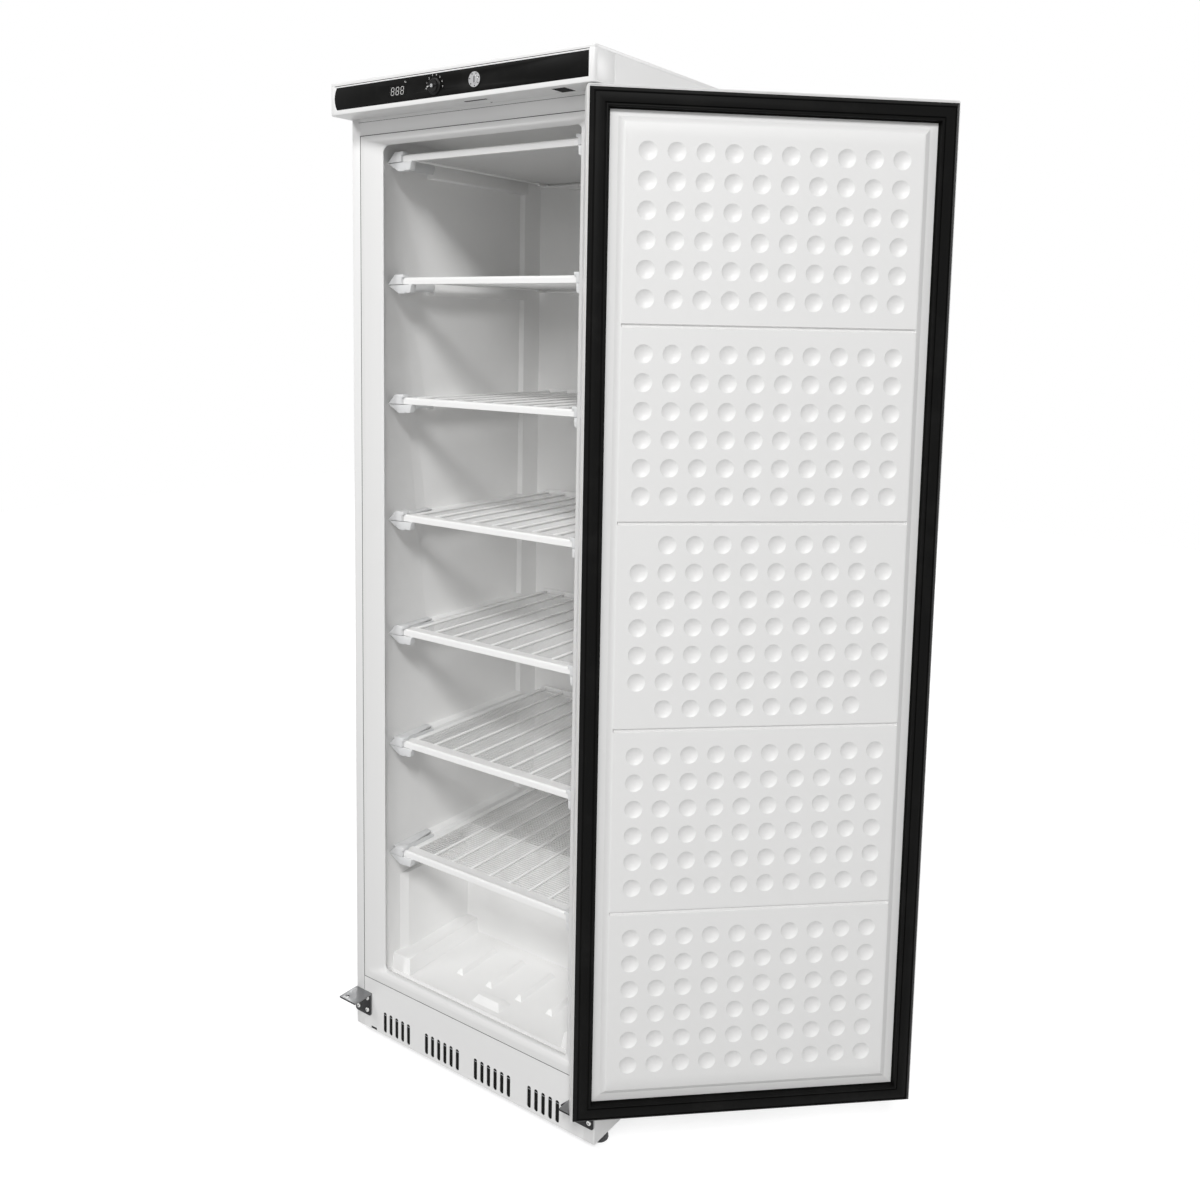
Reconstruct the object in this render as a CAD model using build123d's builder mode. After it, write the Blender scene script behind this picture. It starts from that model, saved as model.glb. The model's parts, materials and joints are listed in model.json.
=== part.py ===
from build123d import *
from math import atan2, cos, degrees, radians, sin
import os

# Upright storage freezer with its door swung open. Millimetres, Z up.
# Origin: on the floor, under the middle of the cabinet's front face. X right, Y to the back.

os.makedirs("parts", exist_ok=True)

# Cabinet
cabinet_width = 595.0
cabinet_depth = 530.0
total_height = 1855.0
ground_gap = 18.0
steel = 1.0
plastic = 2.5
seat_gap = 0.3
flange_width = 23.0
sheet_bend = 3.0

half_width = cabinet_width / 2
inside_half = half_width - steel
frame_half = half_width - flange_width
wall_thickness = 57.5
back_thickness = 50.0
header_height = 87.0

# Canopy
canopy_height = 56.0
canopy_projection = 52.0
lid_height = 5.0
canopy_corner = 8.0
lid_underside = total_height - lid_height
canopy_underside = total_height - canopy_height
canopy_front = -canopy_projection

# Door opening and the plastic frame round it
frame_top = total_height - header_height
grille_top = 124.0
frame_band = 11.0
opening_half = half_width - 84
opening_top = frame_top - frame_band
sill_height = 148.0
frame_depth = 22.0
frame_lip = 8.0
frame_round = 6.0

# Moulded tub
tub_half = half_width - wall_thickness
tub_back = cabinet_depth - back_thickness
tub_ceiling = opening_top + 9
tub_floor = 134.0
bay_depth = 230.0
bay_front = cabinet_depth - bay_depth
hump_wall = 54.0
hump_front = bay_front - hump_wall
hump_top = 372.0
hump_foot_radius = 18.0
tub_corner = 12.0
step_depth = 8.0
step_front = tub_back - 60
step_slope = 7.0
side_pad_depth = 10.0
side_pad_front = 64.0
side_pad_slope = 15.0
side_pad_height = 190.0
rear_pad_depth = 8.0
rear_pad_length = 24.0
side_box_width = 50.0
side_box_front = 42.0
side_box_height = 30.0
side_box_draft = 10.0
floor_rib_count = 4
floor_rib_pitch = 75.5
floor_rib_gap = 36.0
floor_rib_width = 16.0
floor_rib_height = 9.0
floor_rib_front = 104.0
floor_rib_length = hump_front - floor_rib_front - floor_rib_gap
floor_rib_draft = 30.0
sill_block_length = 68.0
sill_block_width = 34.0
sill_block_height = 12.0
sill_block_front = 52.0
sill_block_draft = 38.0

# Shelves
shelf_count = 7
top_shelf = opening_top - 21
lowest_shelf = hump_top + 22.4
shelf_pitch = (top_shelf - lowest_shelf) / (shelf_count - 1)
shelf_half = tub_half - 37
rail_front = 38.0
rail_depth = 27.0
rail_lip = 8.0
rail_height = 13.0
rail_flange = 4.0
rail_round = 4.0
tube_count = 9
tube_pitch = 2 * shelf_half / 8.55
tube_diameter = 5.0
side_tube_diameter = 7.0
mat_wire = 2.4
mat_wire_count = 16
mat_front_margin = 6.0
back_bar = 11.0
back_bar_drop = 1.5
back_bar_y = tub_back - 15
shelf_back = back_bar_y - back_bar / 2
guide_width = 22.0
guide_height = 24.0
guide_drop = 6.0
guide_front = 138.0
rear_boss_width = 30.0
rear_boss_height = 12.0
rear_boss_spacing = 250.0
clip_hook_drop = 16.0
clip_arm_width = 18.0

shelf_tops = [top_shelf - shelf_pitch * level for level in range(shelf_count)]

# Foam body and machine bay
body_top = total_height - 29
body_underside = 60.0
bay_top = hump_top - hump_wall

# Air slots under the door
slot_height = 40.0
slot_width = 3.2
slot_pitch = 16.1
slot_middle = 44.5
inner_slot_group = half_width * 0.212
outer_slot_group = half_width * 0.6185
inner_slot_count = 6
outer_slot_count = 5

# Base
rail_width = 34.0
rail_channel = 20.0
foot_inset_x = 18.0
foot_front = 42.0
foot_rear = cabinet_depth - 30
foot_pad_radius = 16.0
foot_pad_height = 11.0
stud_radius = 5.0
stud_clearance = 0.08
stud_top = 52.0
nut_width = 17.0
nut_height = 8.0

# Door, measured closed
door_side_gap = 1.0
door_top_gap = 6.0
door_bottom = 97.0
door_depth = 40.5
door_bend = 5.0
door_front = canopy_front
door_back = door_front + door_depth
door_half = half_width - door_side_gap
door_top = canopy_underside - door_top_gap
door_opened = 221.8

gasket_inset = 6.0
gasket_width = 29.0
gasket_gap = 0.3
gasket_round = 5.0
gasket_groove_width = 1.6
gasket_groove_depth = 1.4
gasket_groove_inset = 6.5

field_inset = 42.5
field_rise = 7.0
field_slope_run = 9.0
groove_width = 5.0
groove_depth = 2.4
outer_panel_share = 0.197
middle_panel_share = 0.2147
dimple_columns = 10
dimple_rows = 6
dimple_depth = 4.5
dimple_sides = 6

# Hinges
pin_side_inset = 13.0
pin_forward = 36.0
pin_radius = 4.0
pin_clearance = 0.05
pin_x = half_width - pin_side_inset
pin_y = -pin_forward
bracket_plate = 3.0
bracket_top = 94.0
bracket_width = 44.0
bracket_reach = 45.0
bracket_drop = 48.0
bracket_corner = 6.0
screw_spacing = 25.0
screw_head_radius = 4.6
screw_head_height = 2.6
pin_engagement = 18.0
bush_radius = 8.0
bush_flange_radius = 10.5

# Controls
panel_left = -(half_width - 19.8)
panel_right = half_width - 11.5
panel_bulge = 6.3
panel_height = 39.0
panel_middle = total_height - 28.5
panel_thickness = 1.5
panel_proud = 0.5
display_x = -124.0
display_width = 44.0
display_height = 18.0
knob_x = -36.1
knob_z = panel_middle - 1.9
knob_radius = 14.0
knob_skirt = 3.0
knob_depth = 13.0
knob_grip_width = 6.0
shaft_radius = 3.0
lock_x = 55.0
lock_z = panel_middle - 0.2
lock_flange_radius = 12.5
lock_body_radius = 9.2
barrel_radius = 7.0
cam_length = 45.0
cam_width = 12.0
cam_thickness = 2.5
cam_front = -27.0
lock_slot_left = 10.0
lock_slot_right = 63.5
lock_slot_gap = 1.2
turn_clearance = 0.08

# Handle recess in the door's free edge
handle_middle = door_bottom + 0.538 * (door_top - door_bottom)
handle_length = 210.0
handle_width = 25.0
handle_depth = 22.0
handle_wall = 2.0


def upright(y):
    """Plane that faces the viewer at depth y, with X right and Z up."""
    return Plane((0, y, 0), x_dir=(1, 0, 0), z_dir=(0, -1, 0))


# Outline of the dark control strip: a rounded left end and a square right end
with BuildSketch() as strip_outline:
    with BuildLine():
        Polyline(
            (panel_left, panel_middle + panel_height / 2),
            (panel_right, panel_middle + panel_height / 2),
            (panel_right, panel_middle - panel_height / 2),
            (panel_left, panel_middle - panel_height / 2),
        )
        ThreePointArc(
            (panel_left, panel_middle - panel_height / 2),
            (panel_left - panel_bulge, panel_middle),
            (panel_left, panel_middle + panel_height / 2),
        )
    make_face()

# Cabinet sides: a sheet folded at the front and at the back
for side, hand in ((-1, "left"), (1, "right")):
    with BuildPart() as side_panel:
        with BuildSketch(Plane.XY.offset(ground_gap)):
            with Locations((side * (half_width + frame_half) / 2, cabinet_depth / 2)):
                sheet = Rectangle(flange_width, cabinet_depth)
            outer_edge = sheet.vertices().filter_by(lambda v: abs(v.X) > frame_half + steel)
            fillet(outer_edge, sheet_bend)
            with Locations((side * (inside_half + frame_half - steel) / 2, cabinet_depth / 2)):
                Rectangle(flange_width, cabinet_depth - 2 * steel, mode=Mode.SUBTRACT)
        extrude(amount=lid_underside - ground_gap)
    side_panel.part.label = f"side_panel_{hand}"
    export_step(side_panel.part, f"parts/side_panel_{hand}.step")

# Steel strip above the opening
with BuildPart() as header_rail:
    with BuildSketch(upright(0)):
        with Locations((0, (frame_top + lid_underside) / 2)):
            Rectangle(2 * frame_half, lid_underside - frame_top)
    extrude(amount=-steel)
header_rail.part.label = "header_rail"
export_step(header_rail.part, "parts/header_rail.step")

# Sheets that close the foam body
with BuildPart() as top_panel:
    with BuildSketch(Plane.XY.offset(body_top)):
        with Locations((0, cabinet_depth / 2)):
            Rectangle(2 * inside_half, cabinet_depth - 2 * steel)
    extrude(amount=steel)
top_panel.part.label = "top_panel"
export_step(top_panel.part, "parts/top_panel.step")

with BuildPart() as bottom_panel:
    with BuildSketch(Plane.YZ):
        with BuildLine():
            Polyline(
                (steel, body_underside),
                (bay_front, body_underside),
                (bay_front, bay_top),
                (cabinet_depth - steel, bay_top),
                (cabinet_depth - steel, bay_top + steel),
                (bay_front - steel, bay_top + steel),
                (bay_front - steel, body_underside + steel),
                (steel, body_underside + steel),
                close=True,
            )
        make_face()
    extrude(amount=inside_half, both=True)
bottom_panel.part.label = "bottom_panel"
export_step(bottom_panel.part, "parts/bottom_panel.step")

with BuildPart() as back_panel:
    with BuildSketch(upright(cabinet_depth)):
        with Locations((0, (bay_top + steel + lid_underside) / 2)):
            Rectangle(2 * frame_half, lid_underside - bay_top - steel)
    extrude(amount=steel)
back_panel.part.label = "back_panel"
export_step(back_panel.part, "parts/back_panel.step")

# Front plate with the air slots, folded back under the cabinet
grille_fold = 26.0
with BuildSketch() as air_slot:
    Rectangle(slot_width, slot_height)
    chamfer(air_slot.vertices(), slot_width * 0.35)

with BuildPart() as base_grille:
    with BuildSketch(Plane.YZ):
        with BuildLine():
            Polyline(
                (0, ground_gap),
                (grille_fold, ground_gap),
                (grille_fold, ground_gap + steel),
                (steel, ground_gap + steel),
                (steel, grille_top),
                (0, grille_top),
                close=True,
            )
        make_face()
    extrude(amount=frame_half, both=True)
    with BuildSketch(upright(0)):
        for middle in (-inner_slot_group, inner_slot_group):
            with Locations((middle, slot_middle)):
                with GridLocations(slot_pitch, 0, inner_slot_count, 1):
                    add(air_slot.sketch)
        for middle in (-outer_slot_group, outer_slot_group):
            with Locations((middle, slot_middle)):
                with GridLocations(slot_pitch, 0, outer_slot_count, 1):
                    add(air_slot.sketch)
    extrude(amount=-steel, mode=Mode.SUBTRACT)
base_grille.part.label = "base_grille"
export_step(base_grille.part, "parts/base_grille.step")

# Channels along both sides that carry the feet
foot_x = half_width - foot_inset_x
foot_spots = [
    ("front_left", -foot_x, foot_front),
    ("front_right", foot_x, foot_front),
    ("rear_left", -foot_x, foot_rear),
    ("rear_right", foot_x, foot_rear),
]
channel_front = grille_fold - steel
channel_middle_x = inside_half - rail_width / 2
with BuildPart() as base_rails:
    with BuildSketch(upright(channel_front + 2 * steel)):
        with Locations((-channel_middle_x, ground_gap + rail_channel / 2)):
            Rectangle(rail_width, rail_channel)
        with Locations((channel_middle_x, ground_gap + rail_channel / 2)):
            Rectangle(rail_width, rail_channel)
        with Locations((-channel_middle_x, ground_gap + rail_channel / 2 + steel)):
            Rectangle(rail_width - 2 * steel, rail_channel, mode=Mode.SUBTRACT)
        with Locations((channel_middle_x, ground_gap + rail_channel / 2 + steel)):
            Rectangle(rail_width - 2 * steel, rail_channel, mode=Mode.SUBTRACT)
    extrude(amount=-(cabinet_depth - channel_front - 3 * steel))
    with BuildSketch(Plane.XY.offset(ground_gap)):
        for spot, x, y in foot_spots:
            with Locations((x, y)):
                RegularPolygon(stud_radius + 6 * stud_clearance, 12)
    extrude(amount=rail_channel, mode=Mode.SUBTRACT)
base_rails.part.label = "base_rails"
export_step(base_rails.part, "parts/base_rails.step")

# Plate of the machine bay, between the two channels
tray_half = inside_half - rail_width
tray_lip = 14.0
with BuildPart() as compressor_tray:
    with BuildSketch(Plane.XZ.offset(-bay_front)):
        with Locations((0, ground_gap + steel / 2)):
            Rectangle(2 * tray_half, steel)
        with Locations((-tray_half + steel / 2, ground_gap + tray_lip / 2)):
            Rectangle(steel, tray_lip)
        with Locations((tray_half - steel / 2, ground_gap + tray_lip / 2)):
            Rectangle(steel, tray_lip)
    extrude(amount=-(cabinet_depth - bay_front - steel))
compressor_tray.part.label = "compressor_tray"
export_step(compressor_tray.part, "parts/compressor_tray.step")

# Frame round the opening: a flat band with a deeper, rounded inner lip
opening_height = opening_top - sill_height
opening_middle = (opening_top + sill_height) / 2
with BuildPart() as front_frame:
    with BuildSketch(upright(0)):
        with Locations((0, (frame_top + grille_top) / 2)):
            Rectangle(2 * frame_half, frame_top - grille_top)
        with Locations((0, opening_middle)):
            Rectangle(2 * opening_half, opening_height, mode=Mode.SUBTRACT)
    extrude(amount=-plastic)
    with BuildSketch(upright(0)):
        with Locations((0, opening_middle)):
            Rectangle(2 * (opening_half + frame_lip), opening_height + 2 * frame_lip)
            Rectangle(2 * opening_half, opening_height, mode=Mode.SUBTRACT)
    extrude(amount=-frame_depth)
    front_edges = front_frame.edges().filter_by_position(Axis.Y, -steel / 2, steel / 2)
    inner_edges = front_edges.filter_by(lambda e: abs(e.center().X) < opening_half + steel)
    inner_edges = inner_edges.filter_by(lambda e: sill_height - steel < e.center().Z < opening_top + steel)
    fillet(inner_edges, frame_round)
front_frame.part.label = "front_frame"
export_step(front_frame.part, "parts/front_frame.step")

# Hollow of the tub, seen from the side: floor, machine hump, back and ceiling
cavity_front = frame_depth + plastic
with BuildPart() as cavity:
    with BuildSketch(Plane.YZ) as tub_side:
        with BuildLine():
            Polyline(
                (cavity_front, tub_floor),
                (hump_front, tub_floor),
                (hump_front, hump_top),
                (tub_back, hump_top),
                (tub_back, tub_ceiling),
                (cavity_front, tub_ceiling),
                close=True,
            )
        make_face()
        hump_foot = tub_side.vertices().sort_by_distance((0, hump_front, tub_floor))[0]
        fillet(hump_foot, hump_foot_radius)
        hump_crest = tub_side.vertices().sort_by_distance((0, hump_front, hump_top))[0]
        fillet(hump_crest, tub_corner)
    extrude(amount=tub_half, both=True)
    upright_corners = cavity.edges().filter_by(Axis.Z).group_by(Axis.Y)[-1]
    fillet(upright_corners, tub_corner)
    # Shallow step in each side wall near the back, above the hump
    with BuildSketch(Plane.XY.offset(hump_top)) as wall_step:
        with BuildLine():
            Polyline(
                (tub_half, step_front),
                (tub_half - step_depth, step_front + step_slope),
                (tub_half - step_depth, tub_back),
                (tub_half, tub_back),
                close=True,
            )
        make_face()
        mirror(about=Plane.YZ)
    extrude(amount=tub_ceiling - hump_top, mode=Mode.SUBTRACT)
    # Raised pads on the side walls of the lowest compartment
    with BuildSketch(Plane.XY.offset(tub_floor)):
        with BuildLine():
            Polyline(
                (tub_half, side_pad_front),
                (tub_half - side_pad_depth, side_pad_front + side_pad_slope),
                (tub_half - side_pad_depth, hump_front - rear_pad_length),
                (tub_half - side_pad_depth - rear_pad_depth, hump_front - rear_pad_length + side_pad_slope),
                (tub_half - side_pad_depth - rear_pad_depth, hump_front + plastic),
                (tub_half, hump_front + plastic),
                close=True,
            )
        make_face()
        mirror(about=Plane.YZ)
    extrude(amount=side_pad_height, mode=Mode.SUBTRACT)
    # Boxes along the foot of both side walls
    box_middle_y = (side_box_front + hump_front + tub_corner) / 2
    box_length = hump_front + tub_corner - side_box_front
    with BuildSketch(Plane.XY.offset(tub_floor)):
        with Locations((-tub_half, box_middle_y), (tub_half, box_middle_y)):
            Rectangle(2 * side_box_width, box_length)
    extrude(amount=side_box_height, taper=side_box_draft, mode=Mode.SUBTRACT)
    # Ribs and the block moulded in the floor
    with BuildSketch(Plane.XY.offset(tub_floor)):
        with Locations((0, floor_rib_front + floor_rib_length / 2)):
            with GridLocations(floor_rib_pitch, 0, floor_rib_count, 1):
                Rectangle(floor_rib_width, floor_rib_length)
    extrude(amount=floor_rib_height, taper=floor_rib_draft, mode=Mode.SUBTRACT)
    with BuildSketch(Plane.XY.offset(tub_floor)):
        with Locations((0, sill_block_front + sill_block_width / 2)):
            Rectangle(sill_block_length, sill_block_width)
    extrude(amount=sill_block_height, taper=sill_block_draft, mode=Mode.SUBTRACT)
    # Guides beside each shelf, and bosses that carry its back bar
    guide_length = step_front - guide_front
    for shelf_top in shelf_tops:
        with BuildSketch(Plane.XY.offset(shelf_top - guide_drop - guide_height)):
            with Locations(
                (-tub_half, guide_front + guide_length / 2),
                (tub_half, guide_front + guide_length / 2),
            ):
                Rectangle(2 * guide_width, guide_length)
        extrude(amount=guide_height, mode=Mode.SUBTRACT)
        bar_underside = shelf_top - back_bar_drop - back_bar / 2
        with BuildSketch(Plane.XY.offset(bar_underside - seat_gap - rear_boss_height)):
            with Locations((0, tub_back)):
                with GridLocations(rear_boss_spacing, 0, 2, 1):
                    Rectangle(rear_boss_width, 2 * (tub_back - shelf_back))
        extrude(amount=rear_boss_height, mode=Mode.SUBTRACT)

# The tub itself: a wall round that hollow, with a front edge that meets the frame
with BuildPart() as tub_outside:
    with BuildSketch(Plane.YZ) as outer_side:
        with BuildLine():
            Polyline(
                (frame_depth, tub_floor - plastic),
                (hump_front + plastic, tub_floor - plastic),
                (hump_front + plastic, hump_top - plastic),
                (tub_back + plastic, hump_top - plastic),
                (tub_back + plastic, tub_ceiling + plastic),
                (frame_depth, tub_ceiling + plastic),
                close=True,
            )
        make_face()
        outer_crest = outer_side.vertices().sort_by_distance((0, hump_front, hump_top))[0]
        fillet(outer_crest, tub_corner - plastic)
    extrude(amount=tub_half + plastic, both=True)

with BuildPart() as inner_liner:
    add(tub_outside.part)
    add(cavity.part, mode=Mode.SUBTRACT)
    with BuildSketch(upright(frame_depth)):
        with Locations((0, opening_middle)):
            Rectangle(2 * opening_half, opening_height)
    extrude(amount=-2 * plastic, mode=Mode.SUBTRACT)
inner_liner.part.label = "inner_liner"
export_step(inner_liner.part, "parts/inner_liner.step")

# Insulation between the sheets and the tub
with BuildPart() as cabinet_foam:
    with BuildSketch(Plane.YZ):
        with BuildLine():
            Polyline(
                (steel, body_underside + steel),
                (bay_front - steel, body_underside + steel),
                (bay_front - steel, bay_top + steel),
                (cabinet_depth - steel, bay_top + steel),
                (cabinet_depth - steel, body_top),
                (steel, body_top),
                close=True,
            )
        make_face()
    extrude(amount=inside_half, both=True)
    with BuildSketch(upright(0)):
        with Locations((0, (frame_top + grille_top) / 2)):
            Rectangle(2 * frame_half, frame_top - grille_top)
    extrude(amount=-plastic, mode=Mode.SUBTRACT)
    with BuildSketch(upright(0)):
        with Locations((0, opening_middle)):
            Rectangle(2 * (opening_half + frame_lip), opening_height + 2 * frame_lip)
    extrude(amount=-frame_depth, mode=Mode.SUBTRACT)
    add(tub_outside.part, mode=Mode.SUBTRACT)
cabinet_foam.part.label = "cabinet_foam"
export_step(cabinet_foam.part, "parts/cabinet_foam.step")

# Shelves: a front rail with rods running back to the cooling tube at the rear
for level, shelf_top in enumerate(shelf_tops, start=1):
    rod_z = shelf_top - mat_wire - tube_diameter / 2 * cos(radians(30))
    bar_z = shelf_top - back_bar_drop
    with BuildPart() as shelf:
        with BuildSketch(Plane.YZ) as rail_section:
            with BuildLine():
                Polyline(
                    (rail_front, shelf_top),
                    (rail_front + rail_depth, shelf_top),
                    (rail_front + rail_depth, shelf_top - rail_flange),
                    (rail_front + rail_lip, shelf_top - rail_flange),
                    (rail_front + rail_lip, shelf_top - rail_height),
                    (rail_front, shelf_top - rail_height),
                    close=True,
                )
            make_face()
            rail_nose = rail_section.vertices().group_by(Axis.Y)[0]
            fillet(rail_nose, rail_round)
        extrude(amount=shelf_half, both=True)
        with BuildSketch(Plane.YZ):
            with Locations((back_bar_y, bar_z)):
                RegularPolygon(back_bar / 2, 8, major_radius=False)
        extrude(amount=shelf_half, both=True)
        with BuildSketch(upright(rail_front + rail_depth / 2)):
            with Locations((0, rod_z)):
                with GridLocations(tube_pitch, 0, tube_count, 1):
                    RegularPolygon(tube_diameter / 2, 6)
            with Locations((0, rod_z - (side_tube_diameter - tube_diameter) / 2)):
                with GridLocations(2 * shelf_half - side_tube_diameter, 0, 2, 1):
                    RegularPolygon(side_tube_diameter / 2, 6)
        extrude(amount=-(back_bar_y - rail_front - rail_depth / 2))
    shelf.part.label = f"shelf_{level}"
    export_step(shelf.part, f"parts/shelf_{level}.step")

# Mats of fine wires that lie across the tubes of every shelf
mat_start = rail_front + rail_depth + mat_front_margin
mat_end = shelf_back - 2 * mat_wire
mat_pitch = (mat_end - mat_start) / (mat_wire_count - 1)
with BuildPart() as shelf_wires:
    with BuildSketch(Plane.YZ):
        for shelf_top in shelf_tops:
            with Locations(((mat_start + mat_end) / 2, shelf_top - mat_wire / 2)):
                with GridLocations(mat_pitch, 0, mat_wire_count, 1):
                    Rectangle(mat_wire, mat_wire)
    extrude(amount=shelf_half, both=True)
shelf_wires.part.label = "shelf_wires"
export_step(shelf_wires.part, "parts/shelf_wires.step")

# Clips that hold the rail ends to the side walls
clip_overlap = 17.0
clip_slope = 17.0
clip_arm_front = rail_front + rail_lip
clip_arm_length = guide_front + plastic - clip_arm_front
clip_arm_middle = clip_arm_front + clip_arm_length / 2
with BuildPart() as shelf_clips:
    for shelf_top in shelf_tops:
        rail_underside = shelf_top - rail_height
        with BuildSketch(upright(rail_front - plastic)):
            with BuildLine():
                Polyline(
                    (tub_half, rail_underside + plastic),
                    (tub_half - clip_slope, shelf_top + plastic),
                    (shelf_half, shelf_top + plastic),
                    (shelf_half, rail_underside),
                    (shelf_half - clip_overlap, rail_underside),
                    (shelf_half - clip_overlap, rail_underside - plastic),
                    (shelf_half - clip_overlap + 2 * plastic, rail_underside - 3 * plastic),
                    (shelf_half - clip_overlap + 2 * plastic, rail_underside - clip_hook_drop),
                    (tub_half - clip_slope, rail_underside - clip_hook_drop),
                    close=True,
                )
            make_face()
            mirror(about=Plane.YZ)
        extrude(amount=-(rail_lip + 3 * plastic))
        with BuildSketch(Plane.XY.offset(shelf_top - guide_drop + seat_gap)):
            arm_middle_x = tub_half - seat_gap - plastic - clip_arm_width / 2
            with Locations((-arm_middle_x, clip_arm_middle), (arm_middle_x, clip_arm_middle)):
                Rectangle(clip_arm_width, clip_arm_length)
        extrude(amount=plastic)
shelf_clips.part.label = "shelf_clips"
export_step(shelf_clips.part, "parts/shelf_clips.step")

# Refrigerant tube that climbs the back wall and feeds each shelf
riser_x = 96.0
riser_radius = 4.0
riser_y = tub_back - riser_radius - seat_gap
riser_bottom = shelf_tops[-1] - back_bar_drop
with BuildPart() as evaporator_risers:
    with BuildSketch(Plane.XY.offset(riser_bottom)):
        with Locations((riser_x, riser_y)):
            RegularPolygon(riser_radius, 8)
    extrude(amount=shelf_tops[0] - shelf_tops[-1])
    for shelf_top in shelf_tops:
        with BuildSketch(upright(back_bar_y + back_bar / 2 + seat_gap)):
            with Locations((riser_x, shelf_top - back_bar_drop)):
                RegularPolygon(riser_radius - seat_gap, 8)
        extrude(amount=-(riser_y - back_bar_y - back_bar / 2 - seat_gap))
evaporator_risers.part.label = "evaporator_risers"
export_step(evaporator_risers.part, "parts/evaporator_risers.step")

# Canopy moulding: a tray open at the back and the top
with BuildPart() as canopy_fascia:
    with BuildSketch(Plane.XY.offset(canopy_underside)) as canopy_plan:
        with Locations((0, canopy_front / 2)):
            Rectangle(cabinet_width, canopy_projection)
        fillet(canopy_plan.vertices().group_by(Axis.Y)[0], canopy_corner)
    extrude(amount=canopy_height - lid_height)
    with BuildSketch(Plane.XY.offset(canopy_underside + plastic)) as canopy_hollow:
        with Locations((0, canopy_front / 2 + plastic / 2)):
            Rectangle(cabinet_width - 2 * plastic, canopy_projection - plastic)
        fillet(canopy_hollow.vertices().group_by(Axis.Y)[0], canopy_corner - plastic)
    extrude(amount=canopy_height, mode=Mode.SUBTRACT)
    # Recess for the dark strip
    with BuildSketch(upright(canopy_front)):
        add(strip_outline.sketch)
    extrude(amount=-(panel_thickness - panel_proud), mode=Mode.SUBTRACT)
    # Holes for the display, the thermostat and the lock
    with BuildSketch(upright(canopy_front)):
        with Locations((display_x, panel_middle)):
            Rectangle(display_width, display_height)
        with Locations((knob_x, knob_z)):
            Circle(shaft_radius + 1.5)
        with Locations((lock_x, lock_z)):
            Circle(lock_body_radius + turn_clearance)
    extrude(amount=-2 * plastic, mode=Mode.SUBTRACT)
    # Underside: slot for the lock cam, room for the hinge pin, opening beside the hinge
    with BuildSketch(Plane.XY.offset(canopy_underside)):
        with Locations(((lock_slot_left + lock_slot_right) / 2, cam_front + cam_thickness / 2)):
            Rectangle(lock_slot_right - lock_slot_left, cam_thickness + 2 * lock_slot_gap)
        with Locations((pin_x, pin_y)):
            Circle(pin_radius + 2)
        with Locations((pin_x - 70, pin_y + 16)):
            Rectangle(27, 29)
    extrude(amount=2 * plastic, mode=Mode.SUBTRACT)
canopy_fascia.part.label = "canopy_fascia"
export_step(canopy_fascia.part, "parts/canopy_fascia.step")

# Lid over the canopy and the cabinet: a shallow pan
with BuildPart() as top_cover:
    with BuildSketch(Plane.XY.offset(lid_underside)) as lid_plan:
        with Locations((0, (cabinet_depth + canopy_front) / 2)):
            Rectangle(cabinet_width, cabinet_depth + canopy_projection)
        fillet(lid_plan.vertices().group_by(Axis.Y)[0], canopy_corner)
    extrude(amount=lid_height)
    with BuildSketch(Plane.XY.offset(lid_underside)):
        with Locations((0, (cabinet_depth + canopy_front) / 2)):
            Rectangle(
                cabinet_width - 4 * canopy_corner,
                cabinet_depth + canopy_projection - 4 * canopy_corner,
            )
    extrude(amount=lid_height - plastic, mode=Mode.SUBTRACT)
top_cover.part.label = "top_cover"
export_step(top_cover.part, "parts/top_cover.step")

# Dark strip with its openings
panel_face = canopy_front - panel_proud
with BuildPart() as control_panel:
    with BuildSketch(upright(panel_face)):
        add(strip_outline.sketch)
        with Locations((display_x, panel_middle)):
            Rectangle(display_width, display_height, mode=Mode.SUBTRACT)
        with Locations((knob_x, knob_z)):
            Circle(shaft_radius + 1.5, mode=Mode.SUBTRACT)
        with Locations((lock_x, lock_z)):
            Circle(lock_body_radius + turn_clearance, mode=Mode.SUBTRACT)
    extrude(amount=-panel_thickness)
control_panel.part.label = "control_panel"
export_step(control_panel.part, "parts/control_panel.step")

# Temperature display: a window with its circuit box behind
module_depth = 12.0
fascia_inside = canopy_front + plastic
with BuildPart() as display_lens:
    with BuildSketch(upright(panel_face)):
        with Locations((display_x, panel_middle)):
            Rectangle(display_width - 2 * seat_gap, display_height - 2 * seat_gap)
    extrude(amount=-(fascia_inside - panel_face))
display_lens.part.label = "display_lens"
export_step(display_lens.part, "parts/display_lens.step")

with BuildPart() as display_module:
    with BuildSketch(upright(fascia_inside)):
        with Locations((display_x, panel_middle)):
            Rectangle(display_width + 8, display_height + 8)
    extrude(amount=-module_depth)
display_module.part.label = "display_module"
export_step(display_module.part, "parts/display_module.step")

# Thermostat: body behind the fascia, shaft through it, knob in front
knob_back = panel_face - seat_gap
knob_face = knob_back - knob_depth
shaft_end = fascia_inside + 14
with BuildPart() as thermostat_body:
    with BuildSketch(upright(fascia_inside)):
        with Locations((knob_x, knob_z)):
            Rectangle(40, 34)
            Circle(shaft_radius + turn_clearance, mode=Mode.SUBTRACT)
    extrude(amount=-(shaft_end + seat_gap - fascia_inside))
    with BuildSketch(upright(shaft_end + seat_gap)):
        with Locations((knob_x, knob_z)):
            Rectangle(40, 34)
    extrude(amount=-10)
thermostat_body.part.label = "thermostat_body"
export_step(thermostat_body.part, "parts/thermostat_body.step")

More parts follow.
